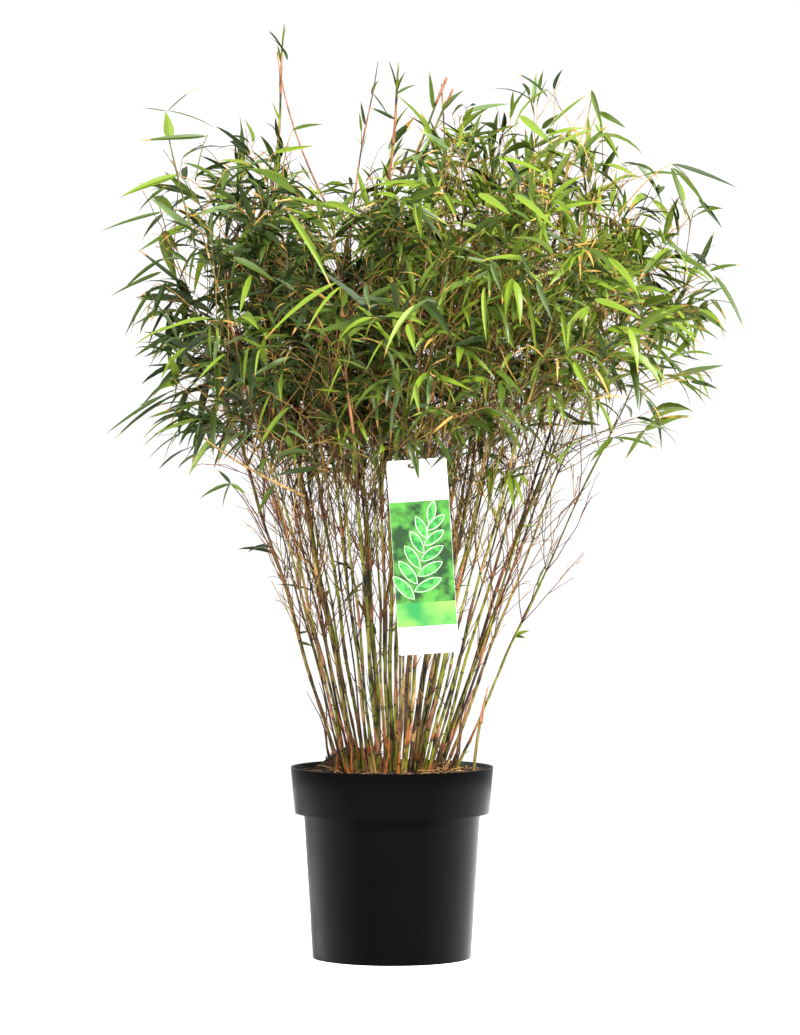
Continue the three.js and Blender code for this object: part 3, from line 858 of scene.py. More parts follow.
leafForm = {
    "length": (0.03, 0.075),
    "widthShare": (0.11, 0.175),
    "rimLonger": (0.42, 0.32),  # near the rim, to the left and to the right
    "youngShare": 0.035,    # of the sprays near the outside, with longer and brighter leaves
    "youngLonger": 1.4,
    "fold": (0.15, 0.6),
    "pitch": (-0.9, 0.4),  # against the end of its twig
    "droop": (0.0, 1.0),
    "smaller": (0.55, 0.85),  # on leaders, and below the crown
    "overRoof": 0.026,
    "perFan": (1, 4),
    "kept": 0.74,          # share of a fan's leaves that are still there
    "yaw": (-0.1, 0.35),
    "roll": (0.0, 0.9),
    "firstOpening": 0.35,  # a fan's first leaf nearly goes on from the twig
    "outside": (0.55, 0.15),     # from which share of the reach, and how far under the roof
    "rim": (0.65, 0.25),
    "upward": (0.05, 0.7, 0.3),  # how far under the roof, up to which share of the reach, and how much
    "gap": 0.009,          # from one leaf's foot to the next down the twig
    "spread": (0.15, 0.8),
    "twist": (-0.9, 0.9),
    "stations": np.array([0.0, 0.07, 0.2, 0.38, 0.6, 0.82, 1.0]),
    "profile": np.array([0.08, 0.6, 0.95, 1.0, 0.76, 0.38, 0.0]),
    "dryTips": 0.34,
    "dryFurther": 0.12,    # of the dry tips, the share that reaches further back
    "dryFurtherUpTo": 0.06,    # but not on longer leaves
}


def growLeaves(twigs, firstSpray):
    # The same number of tries for each twig; leaves past its own number are left out.
    parts = []
    lines, pitches, headings = linesOf(twigs)
    count = len(lines)
    number = chance.integers(leafForm["perFan"][0], leafForm["perFan"][1] + 1, count)
    firstSide = np.where(chance.random(count) < 0.5, -1, 1)
    end = lines[:, -1]
    along = unit(lines[:, -1] - lines[:, -2])
    reach, roof, high = crownShare(end), crownRoof(end), end[:, 2]
    farOut, under = leafForm["outside"]
    young = ((reach > farOut) | (high > roof - under)) & (chance.random(count) < leafForm["youngShare"])
    onLeader, below = leafForm["smaller"]
    rimLonger = np.where(end[:, 0] < 0, *leafForm["rimLonger"])
    longer = np.where(young, leafForm["youngLonger"], 1 + ramp(reach, *leafForm["rim"]) * rimLonger)
    longer *= np.where(twigs["free"], np.where(high > 1, onLeader, below), 1.0)
    # Close under the roof, and above it, leaves stand up more, but not at the rim.
    under, upTo, upright = leafForm["upward"]
    spreading = np.where((high > roof - under) & (reach < upTo), upright, 1.0)
    for place in range(leafForm["perFan"][1]):
        wanted = (place < number) & twigs["leafy"] & (chance.random(count) < leafForm["kept"])
        back = leafForm["gap"] * place * spreadOf(0.7, 1.4, count)
        side = firstSide * (1 if place % 2 else -1)
        opening = spreadOf(*leafForm["spread"], count) * (1.0 if place else leafForm["firstOpening"])
        part = {
            "root": end - along * back[:, None],
            "heading": headings[:, -1] + side * opening,
            "pitch": pitches[:, -1] + spreadOf(*leafForm["pitch"], count) * spreading,
            "droop": spreadOf(*leafForm["droop"], count),
            "yaw": side * spreadOf(*leafForm["yaw"], count),
            "roll": side * spreadOf(*leafForm["roll"], count) + spreadOf(-0.4, 0.4, count),
            "twist": spreadOf(*leafForm["twist"], count),
            "fold": spreadOf(*leafForm["fold"], count),
            "length": spreadOf(*leafForm["length"], count) * longer,
            "widthShare": spreadOf(*leafForm["widthShare"], count),
            "free": twigs["free"],
            "young": young,
            "spray": np.arange(count) + firstSpray,
        }
        parts.append(keep(part, wanted))
    return join(parts)


leafParts = []
sprays = 0
for twigs in (branch, fineTwigs, twiglets):
    leafParts.append(growLeaves(twigs, sprays))
    sprays += len(twigs["length"])
leaves = join(leafParts)


def leafLines(some):
    return hangingLines(some, leafForm["stations"], 1.1)


# A leaf that reaches past the crown is skipped: most stay within its rim, a few stray a little further.
lines = leafLines(leaves)[0]
tips = lines[:, -1]
strays = chance.random(len(lines)) < crown["strayShare"]
stretch = np.where(strays, np.where(tips[:, 0] < 0, *crown["strayReach"]), 1.01)
overRoof = np.where(strays, crown["strayOverRoof"], leafForm["overRoof"])
fits = (tips[:, 2] < crownRoof(tips) + overRoof) & (tips[:, 2] > crownFloor(tips) - 0.02)
fits = (crownShare(tips) < stretch) & (fits | leaves["free"]) & (tips[:, 2] < leaders[0][2] + 0.004)
fits &= clearOfLabel(lines, labelPlace["overhang"]) & (np.abs(tips[:, 1]) < crown["strayDepth"])
leaves = keep(leaves, fits)
print("leaves:", int(fits.sum()))

# Leaves that stand out, at the front and of the outline: foot, tip and width in millimetres, and colour.
showLeaves = [
    (-135, -370, 1022, -76, -400, 918, 10, "fresh"), (-72, -380, 930, -168, -405, 852, 12.5, "fresh"),
    (-66, -370, 925, -112, -410, 862, 9.5, "fresh"), (122, -360, 925, 124, -400, 850, 10, "lime"),
    (228, -330, 900, 230, -380, 835, 12, "fresh"), (-210, -310, 966, -150, -340, 930, 11, "middle"),
    (160, -330, 1050, 215, -370, 1000, 10, "fresh"), (30, -380, 900, -10, -400, 830, 10, "lime"),
    (-242, -266, 877, -240, -296, 832, 9, "fresh"), (-221, -284, 839, -257, -314, 804, 8, "fresh"),
    (-189, -307, 849, -195, -337, 794, 13, "fresh"), (-174, -316, 845, -180, -346, 806, 9, "lime"),
    (-144, -332, 814, -145, -362, 773, 11, "fresh"), (-65, -357, 823, -87, -387, 771, 11, "fresh"),
    (-160, -324, 784, -177, -354, 728, 11, "fresh"), (31, -363, 1035, 37, -393, 991, 14, "lime"),
    (49, -362, 978, 54, -392, 949, 13, "fresh"), (22, -364, 877, 31, -394, 838, 13, "fresh"),
    (32, -363, 797, 37, -393, 758, 11, "lime"), (47, -362, 908, 5, -392, 864, 8, "middle"),
    (-34, -362, 929, -28, -392, 893, 11, "pale"), (-10, -364, 856, -37, -394, 807, 6, "fresh"),
    (39, -363, 1041, 39, -393, 986, 12, "fresh"), (114, -352, 1048, 157, -382, 1018, 13, "fresh"),
    (289, -279, 967, 330, -309, 910, 12, "fresh"), (270, -291, 911, 333, -321, 883, 13, "fresh"),
    (192, -329, 933, 213, -359, 877, 10, "pale"), (133, -348, 960, 144, -378, 917, 11, "pale"),
    (172, -336, 970, 185, -366, 932, 9, "pale"), (242, -306, 828, 264, -336, 781, 12, "fresh"),
    # Round the far left shoot and the tallest leader.
    (-306, -100, 1138, -311, -100, 1176, 16, "fresh"), (-309, -100, 1175, -262, -100, 1212, 2.2, "deep"),
    (-309, -100, 1176, -346, -100, 1181, 1.8, "middle"), (-309, -100, 1177, -232, -100, 1146, 2, "middle"),
    (-255, -100, 1142, -347, -120, 1134, 8, "middle"), (-137, -100, 1150, -94, -100, 1158, 6, "middle"),
    (-162, -100, 1119, -106, -100, 1129, 7.5, "fresh"),
    # Arching out of the left rim.
    (-294, -100, 1089, -374, -120, 1056, 11, "fresh"), (-311, -60, 1075, -352, -70, 1038, 8, "middle"),
    (-317, -80, 1039, -403, -90, 1011, 6, "middle"), (-315, -80, 1036, -345, -90, 997, 9, "deep"),
    (-317, -50, 976, -373, -60, 931, 6.5, "middle"), (-317, -90, 956, -389, -100, 921, 7, "middle"),
    (-331, -40, 938, -371, -50, 867, 6, "middle"), (-310, -100, 942, -331, -110, 885, 10, "deep"),
    (-309, -60, 790, -398, -70, 731, 6.5, "middle"), (-305, -90, 784, -385, -100, 721, 5.5, "deep"),
    (-257, -120, 755, -328, -140, 731, 8, "fresh"), (-243, -150, 728, -277, -170, 675, 12, "fresh"),
    (-222, -140, 730, -237, -150, 692, 9, "pale"),
    # A low sprig on the left, and single low leaves.
    (-222, -100, 664, -265, -110, 643, 6, "middle"), (-222, -100, 664, -240, -110, 684, 6, "deep"),
    (-222, -100, 664, -233, -110, 628, 7, "middle"), (-222, -100, 664, -200, -110, 650, 6, "fresh"),
    (-160, -130, 663, -185, -140, 619, 10, "middle"), (-143, -150, 731, -131, -160, 687, 10, "fresh"),
    # Out of the right side and the top right.
    (276, -60, 1208, 290, -80, 1152, 12, "fresh"), (285, -60, 1178, 323, -80, 1154, 10, "middle"),
    (225, -50, 1210, 237, -60, 1238, 9, "deep"), (99, -120, 1172, 162, -130, 1184, 9, "pale"),
    (174, -140, 1167, 220, -170, 1123, 12, "fresh"), (70, -86, 1178, 100, -95, 1206, 11, "middle"),
    (58, -53, 1182, 51, -60, 1238, 8, "middle"), (387, -80, 1105, 477, -90, 1071, 9, "deep"),
    (386, -80, 1100, 434, -90, 1043, 9, "middle"), (385, -80, 1100, 407, -90, 1020, 8, "middle"),
    (424, -70, 1057, 456, -80, 1016, 8, "deep"), (440, -60, 958, 484, -70, 966, 8, "middle"),
    (446, -60, 952, 489, -70, 870, 10, "middle"), (414, -60, 805, 456, -70, 792, 8, "deep"),
]

# Leaves over the label's top edge, before its face: foot and tip across and up, how far the tip stands
# before the foot, and width, in millimetres.
labelLeaves = [
    (20, 722, 36, 670, 10, 8, "middle"),
    (92, 718, 50, 683, 6, 7, "deep"),
    (60, 728, 86, 678, 6, 7.5, "middle"),
]

# Small leaves on the leaders and low on outer canes: place and height on the cane, how far the tip lies to
# the right and up from there, and the width, in millimetres.
caneLeaves = [
    (-152, 1268, 6, 32, 4, "fresh"), (-153, 1250, -6, 26, 5, "middle"), (-160, 1170, -12, 28, 4, "fresh"),
    (-35, 1170, -8, 36, 7, "deep"), (-25, 1216, 26, -40, 2.5, "deep"), (3, 1196, 4, 38, 7, "fresh"),
    (3, 1200, -14, 46, 3, "deep"), (3, 1198, 12, 28, 6, "middle"), (3, 1196, 28, 12, 5, "middle"),
    (0, 1146, 22, 36, 9, "fresh"), (-1, 1162, -36, 16, 6, "deep"), (167, 448, 23, 10, 7, "fresh"),
    (167, 450, 16, -3, 5, "middle"), (195, 515, 10, 35, 8, "fresh"), (-135, 440, 20, -6, 5, "middle"),
    (-135, 452, 18, 4, 4, "deep"),
]


def placedLeaves():
    # Foot, tip, width and colour of each, in metres.
    placed = []
    for *numbers, colour in showLeaves:
        numbers = np.array(numbers) / 1000
        placed.append((numbers[:3], numbers[3:6], numbers[6], colour))
    face = labelPlace["y"] - 0.006
    for footX, footZ, tipX, tipZ, ahead, width, colour in labelLeaves:
        foot = np.array((footX / 1000, face, footZ / 1000))
        tip = np.array((tipX / 1000, face - ahead / 1000, tipZ / 1000))
        placed.append((foot, tip, width / 1000, colour))
    for row in caneLeaves:
        x, z, right, up, width = (value / 1000 for value in row[:5])
        canes = [culmCentre(one, z) for one in culms if one["tip"] > z]
        foot = min(canes, key=lambda spot: abs(spot[0] - x) + 0.2 * max(0.0, spot[1]))
        placed.append((foot, np.array((foot[0] + right, foot[1] - 0.01, z + up)), width, row[5]))
    return [np.array(column) for column in zip(*placed)]


footOf, tipOf, widthOf, colourOf = placedLeaves()
showForm = {"droop": (0.1, 0.5), "roll": (0.7, 1.5), "twist": (-0.6, 0.6), "fold": (0.35, 0.65)}


def placeShowLeaves():
    along = tipOf - footOf
    count = len(along)
    length = np.linalg.norm(along, axis=1)
    droop, roll, twist, fold = (spreadOf(*bounds, count) for bounds in showForm.values())
    return {
        "root": footOf,
        "heading": np.arctan2(along[:, 1], along[:, 0]),
        "pitch": np.arcsin(along[:, 2] / length) + droop / 2.1,
        "droop": droop,
        "yaw": np.zeros(count),
        "roll": roll,
        "twist": twist,
        "fold": fold,
        "length": length,
        "widthShare": widthOf / length,
        "free": np.zeros(count, bool),
        "young": np.ones(count, bool),
        "spray": np.arange(count),
    }


leaves = join([leaves, placeShowLeaves()])

# The greens from deep to lime are partly the blades' own tones and partly painted shade and painted light,
# dealt out by place below; the pale green is a painted sheen of the sky.
leafPaints = {
    "deepLeaves": (37, 51, 17),
    "middleLeaves": (59, 76, 21),
    "freshLeaves": (92, 112, 29),
    "limeLeaves": (106, 123, 44),
    "paleLeaves": (84, 102, 60),
    "strawLeaves": (152, 122, 60),
}
dryTip = (144, 110, 50)
leafFinish = {
    "specular": 0.2,
    "ribs": 3.2,
    "relief": 0.0001,
    "reliefStrength": 0.1,
    "patches": 60,
    "roughness": (0.28, 0.55),
}


def leafMaterial(name, colour):
    # Fine ribs run along the blade, and the gloss changes a little from place to place.
    material, tree, shader = newMaterial(name)
    blade = addNode(tree, "UVMap", {}, uv_map="blade")["UV"]
    along = {"Vector": blade, "Scale": leafFinish["ribs"]}
    ribs = addNode(tree, "TexWave", along, bands_direction="Y")["Fac"]
    setInputs(shader, {
        "Base Color": linear(*colour),
        "Specular IOR Level": leafFinish["specular"],
        "Roughness": ranged(tree, noiseOver(tree, leafFinish["patches"]), to=leafFinish["roughness"]),
        "Normal": reliefOf(tree, ribs, leafFinish["relief"], leafFinish["reliefStrength"]),
    })
    return material


# Left edge, midrib and right edge of each blade, station by station: it twists, and folds along its
# midrib.
def bladePoints(some):
    line, sinking, turning = leafLines(some)
    sinking = np.concatenate((sinking[:, :1], sinking), axis=1)
    turning = np.concatenate((turning[:, :1], turning), axis=1)
    along = np.stack(
        (np.cos(sinking) * np.cos(turning), np.cos(sinking) * np.sin(turning), np.sin(sinking)), axis=2
    )
    level = np.stack((-np.sin(turning), np.cos(turning), np.zeros_like(turning)), axis=2)
    upright = np.cross(along, level)
    roll = (some["roll"][:, None] + some["twist"][:, None] * leafForm["stations"][None])[..., None]
    across = level * np.cos(roll) + upright * np.sin(roll)
    facing = np.cross(along, across)
    half = leafForm["profile"][None] * (some["length"] * some["widthShare"] / 2)[:, None]
    wide = (half * np.cos(some["fold"])[:, None])[..., None] * across
    raised = (half * np.sin(some["fold"])[:, None])[..., None] * facing
    return line + wide + raised, line, line - wide + raised


# The blades of one colour as one mesh: each is two strips that meet in the midrib, and ends in a point.
def leafMesh(name, some):
    left, line, right = bladePoints(some)
    count, steps = line.shape[:2]
    body = np.stack((left, line, right), axis=2)[:, :-1].reshape(count, -1, 3)
    points = np.concatenate((body, line[:, -1:]), axis=1)
    each = points.shape[1]
    corners = []
    for step in range(steps - 2):
        low = 3 * step
        corners.append((low + 1, low, low + 3, low + 4))
        corners.append((low + 2, low + 1, low + 4, low + 5))
    last = 3 * (steps - 2)
    ends = [(last + 1, last, last + 3), (last + 2, last + 1, last + 3)]
    start = (np.arange(count) * each)[:, None, None]
    quads = (start + np.array(corners)[None]).reshape(-1, 4).tolist()
    tris = (start + np.array(ends)[None]).reshape(-1, 3).tolist()
    mesh = meshFromArrays(name, points, quads + tris)
    # Where each corner lies on its blade: along it, and across it from -1 to 1.
    along = np.append(np.repeat(leafForm["stations"][:-1], 3), 1.0)
    over = np.append(np.tile((-1.0, 0.0, 1.0), steps - 1), 0.0)
    corner = np.zeros(len(mesh.loops), np.int64)
    mesh.loops.foreach_get("vertex_index", corner)
    spots = np.stack((along[corner % each], over[corner % each]), axis=1)
    mesh.uv_layers.new(name="blade").data.foreach_set("uv", spots.astype(np.float32).ravel())
    # The midrib is a crease.
    edge = np.zeros(len(mesh.edges) * 2, np.int64)
    mesh.edges.foreach_get("vertices", edge)
    onRib = (edge % each % 3 == 1) | (edge % each == each - 1)
    sharp = mesh.attributes.new("sharp_edge", "BOOLEAN", "EDGE")
    sharp.data.foreach_set("value", onRib.reshape(-1, 2).all(axis=1))
    # A share of the blades has dried from the tip back.
    dry = chance.random(count) < leafForm["dryTips"]
    further = dry & (chance.random(count) < leafForm["dryFurther"])
    further &= some["length"] < leafForm["dryFurtherUpTo"]
    slots = np.zeros(len(mesh.polygons), np.int32)
    quadSlots = slots[:count * len(corners)].reshape(count, -1)
    quadSlots[further, -2:] = 1
    slots[count * len(corners):] = np.repeat(dry, 2)
    mesh.polygons.foreach_set("material_index", slots)
    return mesh


# Colour is dealt out by spray, partly by chance and partly as painted light and shade: darker to the left
# inside as painted shade, brighter to the right, and on the left near the top and the rim, as painted
# light.
dealing = {
    "draw": (0.09, 0.52),      # the light that every spray has, and how much more chance may add
    "leafSpread": 0.1,
    "right": 0.24,
    "higher": 0.06,            # taken off
    "outer": 0.16,
    "young": 0.15,
    "middle": (0.05, 0.03, 0.14),      # how much, place along X and spread
    "rightRim": -0.12,
    "leftRim": (0.3, -0.21),
    "deepUpTo": 0.42,
    "freshFrom": 0.61,
    "limeFrom": 0.86,
    "paleSheenShare": 0.06,
    "strawShare": (0.075, 0.06),       # everywhere, and how much more to the right
}


def dealColours(some):
    root = some["root"]
    sprays = some["spray"].max() + 1
    draw = chance.random(sprays)[some["spray"]] + chance.normal(0, dealing["leafSpread"], len(root))
    x = root[:, 0]
    side = ramp(x, -0.25, 0.5)
    height = (root[:, 2] - crownFloor(root)) / (crownRoof(root) - crownFloor(root))
    outer = crownShare(root)
    least, more = dealing["draw"]
    # The spray's own tone by chance, plus painted light and shade: brighter to the right, further out and
    # in the middle, darker higher up and at the right rim; young sprays are a brighter green of their own.
    light = more * draw + least + dealing["right"] * side - dealing["higher"] * height
    light += dealing["outer"] * outer
    much, place, spread = dealing["middle"]
    light += dealing["young"] * some["young"] + much * np.exp(-((x - place) / spread) ** 2)
    atRim, inside = dealing["leftRim"]
    leftRim = atRim * ramp(np.maximum(outer, height), 0.6, 0.3) + inside
    light += np.where(x > 0, dealing["rightRim"] * ramp(outer, 0.7, 0.25), leftRim * ramp(-x, 0, 0.2))
    order = np.full(len(x), "middleLeaves", dtype=object)
    order[light < dealing["deepUpTo"]] = "deepLeaves"
    order[light > dealing["freshFrom"]] = "freshLeaves"
    order[light > dealing["limeFrom"]] = "limeLeaves"
    # Pale blades, a painted sheen of the sky, are dealt out by chance.
    order[chance.random(len(x)) < dealing["paleSheenShare"]] = "paleLeaves"
    straw, moreStraw = dealing["strawShare"]
    order[chance.random(len(x)) < straw + moreStraw * side] = "strawLeaves"
    order[-len(colourOf):] = [colour + "Leaves" for colour in colourOf]
    return order


colours = dealColours(leaves)
for name, share in (("widthShare", 0.6), ("length", 0.65)):
    leaves[name] = np.where(colours == "strawLeaves", share, 1.0) * leaves[name]
foliageNodes = [name for name in nodes if name.startswith("foliage_")]
tipMaterial = leafMaterial("leafDryTip", dryTip)
for name, colour in leafPaints.items():
    some = keep(leaves, colours == name)
    mesh = leafMesh(name, some)
    paint = leafMaterial(name.replace("Leaves", "Leaf"), colour)
    addPiece(name, mesh, paint, foliageNodes)
    mesh.materials.append(tipMaterial)
    print(name, len(some["length"]), "blades")

twigPaints = {
    "tanTwigs": streakedMaterial("twigTan", (164, 130, 66), (112, 80, 36), 500),
    "brownTwigs": streakedMaterial("twigBrown", (114, 70, 44), (46, 30, 20), 500),
    "greenTwigs": streakedMaterial("twigGreen", (96, 96, 36), (50, 50, 20), 500),
}


# The share of the twigs up to which they are tan, and from which they are brown: low down, and in the
# crown, where fewer are tan and more are brown to the left.
twigShares = {"low": (0.3, 0.42), "crown": (0.66, 0.82), "left": (0.42, 0.3)}


# The thinnest twigs have fewer steps.
def paintTwigs():
    tans, browns = zip(*twigShares.values())
    grades = [
        (branch, branchShares, branching["footRadius"], branching["tipRadius"]),
        (fineTwigs, branchShares, *branching["fineRadius"]),
        (twiglets, np.linspace(0, 1, 4), *branching["twigletRadius"]),
    ]
    for grade, (twigs, shares, foot, tip) in zip(("", "Fine", "Twiglet"), grades):
        twigLines = linesOf(twigs, shares)[0]
        low = twigLines[:, 0, 2] < branching["leafyFrom"] + 0.1
        left = ramp(-twigLines[:, 0, 0], -0.2, 0.4)
        draw = chance.random(len(twigLines))
        tan, brown = (np.where(low, one[0], one[1] - one[2] * left) for one in (tans, browns))
        kind = np.where(draw < tan, "tanTwigs", "greenTwigs")
        kind[draw > brown] = "brownTwigs"
        for name, paint in twigPaints.items():
            some = twigLines[kind == name]
            mesh = twigMesh(name + grade, some, np.full(len(some), foot), np.full(len(some), tip))
            addPiece(name + grade, mesh, paint, foliageNodes)


paintTwigs()

# Single canes that cross the rest: foot, middle, tip, and the radius at foot and tip, in millimetres.
looseCanes = {
    "tanCane": ("salmonSheaths", [
        (-89, -50, 1047, -136, -50, 1158, -159, -50, 1262, 1.5, 0.9),
    ]),
    "cutShoots": ("greenTwigs", [
        (22, -40, 1090, 42, -47, 1140, 61, -53, 1190, 1.8, 1.5),
        (36, -80, 1090, 58, -83, 1150, 76, -87, 1190, 1.6, 1.4),
    ]),
    "cutEnds": ("salmonSheaths", [
        (60, -52.7, 1188, 68, -55.5, 1207, 76, -58, 1226, 2, 2.2),
        (75.5, -86.8, 1189, 80, -88, 1198, 84, -89, 1208, 1.6, 1.7),
        (22, -39.5, 1091, 32, -42.8, 1116, 41, -46, 1140, 2.3, 2),
    ]),
    "leftShoot": ("greenTwigs", [
        (-270, -100, 990, -294, -100, 1085, -307, -100, 1142, 1.5, 0.9),
        (-270, -100, 1080, -262, -100, 1120, -253, -100, 1144, 0.9, 0.6),
    ]),
    "sprayTwigs": ("tanTwigs", [
        (300, -70, 1020, 350, -75, 1080, 386, -80, 1105, 1, 0.6),
        (340, -50, 890, 400, -55, 935, 441, -60, 958, 1, 0.6),
        (-210, -100, 1020, -260, -100, 1070, -295, -100, 1088, 0.9, 0.6),
        (-150, -100, 1080, -146, -100, 1120, -136, -100, 1151, 0.8, 0.6),
        (-175, -100, 1060, -172, -100, 1100, -161, -100, 1120, 0.8, 0.6),
        (235, -60, 1080, 265, -60, 1150, 277, -60, 1210, 1, 0.6),
        (260, -60, 1120, 275, -60, 1155, 286, -60, 1179, 0.8, 0.6),
        (215, -50, 1100, 224, -50, 1160, 226, -50, 1212, 0.8, 0.6),
        (386, -80, 1105, 410, -75, 1085, 425, -70, 1056, 0.7, 0.5),
        (-250, -80, 1000, -290, -80, 1030, -317, -80, 1038, 0.8, 0.6),
        (-250, -60, 930, -300, -60, 965, -318, -60, 976, 0.8, 0.6),
        (-270, -50, 900, -310, -45, 935, -332, -40, 939, 0.8, 0.6),
        (-250, -80, 760, -285, -70, 785, -310, -60, 791, 0.8, 0.6),
        (350, -60, 790, 390, -60, 806, 415, -60, 806, 0.8, 0.6),
    ]),
    "lowTwigs": ("brownTwigs", [
        (-155, -100, 545, -190, -100, 620, -223, -100, 665, 1.1, 0.6),
        (-190, -100, 660, -215, -130, 715, -244, -150, 729, 1, 0.6),
    ]),
    "dryCane": ("strawSheaths", [
        (-255, -200, 728, -200, -200, 690, -118, -190, 648, 1.3, 1.9),
    ]),
    "brokenShoot": ("oliveCulms", [
        (113, -35, 255, 118, -35, 300, 124, -35, 337, 2.2, 2),
    ]),
    "shootTip": ("salmonSheaths", [
        (123.5, -35, 330, 128, -36, 356, 135, -37, 384, 3.1, 0.4),
    ]),
}
canePaints = twigPaints | sheathPaints | culmPaints
for name, (paint, canes) in looseCanes.items():
    canes = np.array(canes) / 1000
    foot, middle, tip = canes[:, None, :3], canes[:, None, 3:6], canes[:, None, 6:9]
    share = np.linspace(0, 1, 9)[None, :, None]
    pulled = 2 * share * (1 - share) * (2 * middle - (foot + tip) / 2)
    bent = (1 - share) ** 2 * foot + pulled + share ** 2 * tip
    addPiece(name, twigMesh(name, bent, canes[:, 9], canes[:, 10], 8), canePaints[paint])
print("twigs done")

# At the compost most canes are wrapped in an old sheath, rust red, salmon or straw.
footKinds = {
    "rustFeet": (sheathPaints["rustSheaths"], 0.17),
    "salmonFeet": (sheathPaints["salmonSheaths"], 0.22),
    "strawFeet": (sheathPaints["strawSheaths"], 0.14),
}
footLength = (0.8, 1.6)
footHeaps = {name: TubeHeap() for name in footKinds}
for culm in culms:
    draw = chance.random()
    for name, (paint, share) in footKinds.items():
        if 0 <= draw < share:
            foot = soilTop - culmForm["sunk"]
            length = (culm["nodes"][0] - foot) * chance.uniform(*footLength)
            growSheath(culm, foot, length, footHeaps[name])
        draw -= share
for name, (paint, share) in footKinds.items():
    addPiece(name, footHeaps[name].mesh(name), paint)

# Short dead shoots stand between the canes, each drawn out to a point.
deadShoots = {
    "count": 16,
    "ring": (0.55, 1.1),       # how far out in the clump, 1 at its edge
    "height": (0.05, 0.17),
    "lean": (0.15, 0.5),
    "radius": (0.0011, 0.0024),
    "oval": (0.088, 0.076),    # half the clump's width and depth at the compost
    "wave": (0.004, 7),        # how far they waver, and how closely
    "tipShare": 0.2,
}


def growDeadShoots(name, paint, count):
    around = spreadOf(0, 2 * math.pi, count)
    out, high, lean, radius = (
        spreadOf(*deadShoots[name], count) for name in ("ring", "height", "lean", "radius")
    )
    wide, deep = deadShoots["oval"]
    low = np.full(count, soilTop - culmForm["sunk"])
    foot = np.stack((out * np.cos(around) * wide, out * np.sin(around) * deep, low), axis=1)
    share = np.linspace(0, 1, 8)[None, :, None]
    away = lean * out * high
    move = np.stack((np.cos(around) * away, np.sin(around) * away, high), axis=1)
    reach, pace = deadShoots["wave"]
    wave = reach * np.sin(share * pace + around[:, None, None])
    lines = foot[:, None] + move[:, None] * share + wave * np.array([1.0, 0.5, 0.0])
    lines = lines[clearOfLabel(lines, 0)]
    radius = radius[:len(lines)]
    addPiece(name, twigMesh(name, lines, radius, radius * deadShoots["tipShare"], 7), paint)


growDeadShoots("brownShoots", sheathPaints["brownSheaths"], deadShoots["count"])
growDeadShoots("rustShoots", sheathPaints["rustSheaths"], deadShoots["count"] // 2)


# The pot: a turned bucket with a wider band, in black moulded plastic.

pot = {
    "height": 0.267,
    "footRadius": 0.111,
    "bodyTopRadius": 0.1235,
    "bandFootRadius": 0.136,
    "rimRadius": 0.142,
    "bandHeight": 0.064,
    "wall": 0.0026,
    "baseThickness": 0.003,
    "drainHoles": 6,
    "drainRadius": 0.006,
    "drainCircle": 0.088,
    "steps": 96,
    "edgeRound": 0.0011,
    "edgeAngle": math.radians(32),
}
potFinish = {
    "specular": 0.02,
    "dust": 9,
    "detail": 6,
    "roughness": (0.22, 0.36),
    "grain": 900,
    "relief": 0.0002,
    "reliefStrength": 0.25,
    "polishFrom": 0.1,
    "polish": (0.0, 0.4),
    "polishRoughness": 0.2,
}


def spunForm(profile, steps):
    form = bmesh.new()
    spots = [form.verts.new((radius, 0, z)) for radius, z in profile]
    lines = [form.edges.new(pair) for pair in zip(spots, spots[1:])]
    bmesh.ops.spin(
        form, geom=spots + lines, cent=(0, 0, 0), axis=(0, 0, 1), angle=2 * math.pi, steps=steps,
        use_merge=True,
    )
    return form


def buildPot():
    high, wall, base = pot["height"], pot["wall"], pot["baseThickness"]
    shoulder = high - pot["bandHeight"]
    outside = [
        (pot["footRadius"], 0),
        (pot["bodyTopRadius"], shoulder),
        (pot["bandFootRadius"], shoulder),
        (pot["rimRadius"], high),
    ]
    inside = [
        (pot["rimRadius"] - wall, high),
        (pot["bandFootRadius"] - wall, shoulder + wall),
        (pot["bodyTopRadius"] - wall, shoulder + wall),
        (pot["footRadius"] - wall, base),
    ]
    profile = [(0, 0), *outside, *inside, (0, base)]
    piece = newObject("potShell", meshFromForm("potShell", spunForm(profile, pot["steps"])))
    drill = bmesh.new()
    for hole in range(pot["drainHoles"]):
        angle = 2 * math.pi * hole / pot["drainHoles"]
        place = Vector((pot["drainCircle"] * math.cos(angle), pot["drainCircle"] * math.sin(angle), 0))
        bmesh.ops.create_cone(
            drill, cap_ends=True, segments=24, radius1=pot["drainRadius"], radius2=pot["drainRadius"],
            depth=0.02, matrix=Matrix.Translation(place),
        )
    drillPiece = newObject("drill", meshFromForm("drill", drill))
    cut = piece.modifiers.new("drainHoles", "BOOLEAN")
    cut.object = drillPiece
    cut.operation = "DIFFERENCE"
    cut.solver = "EXACT"
    soften = piece.modifiers.new("edges", "BEVEL")
    soften.width = pot["edgeRound"]
    soften.segments = 3
    soften.limit_method = "ANGLE"
    soften.angle_limit = pot["edgeAngle"]
    bpy.context.view_layer.update()
    made = bpy.data.meshes.new_from_object(piece.evaluated_get(bpy.context.evaluated_depsgraph_get()))
    bpy.data.objects.remove(piece)
    bpy.data.objects.remove(drillPiece)
    made.name = "potShell"
    made.shade_smooth()
    # The inner wall is a duller grey green than the outside.
    for face in made.polygons:
        outward = face.normal.xy.dot(face.center.xy)
        if outward < -0.3 * face.center.xy.length and face.center.z > shoulder:
            face.material_index = 1
    return made


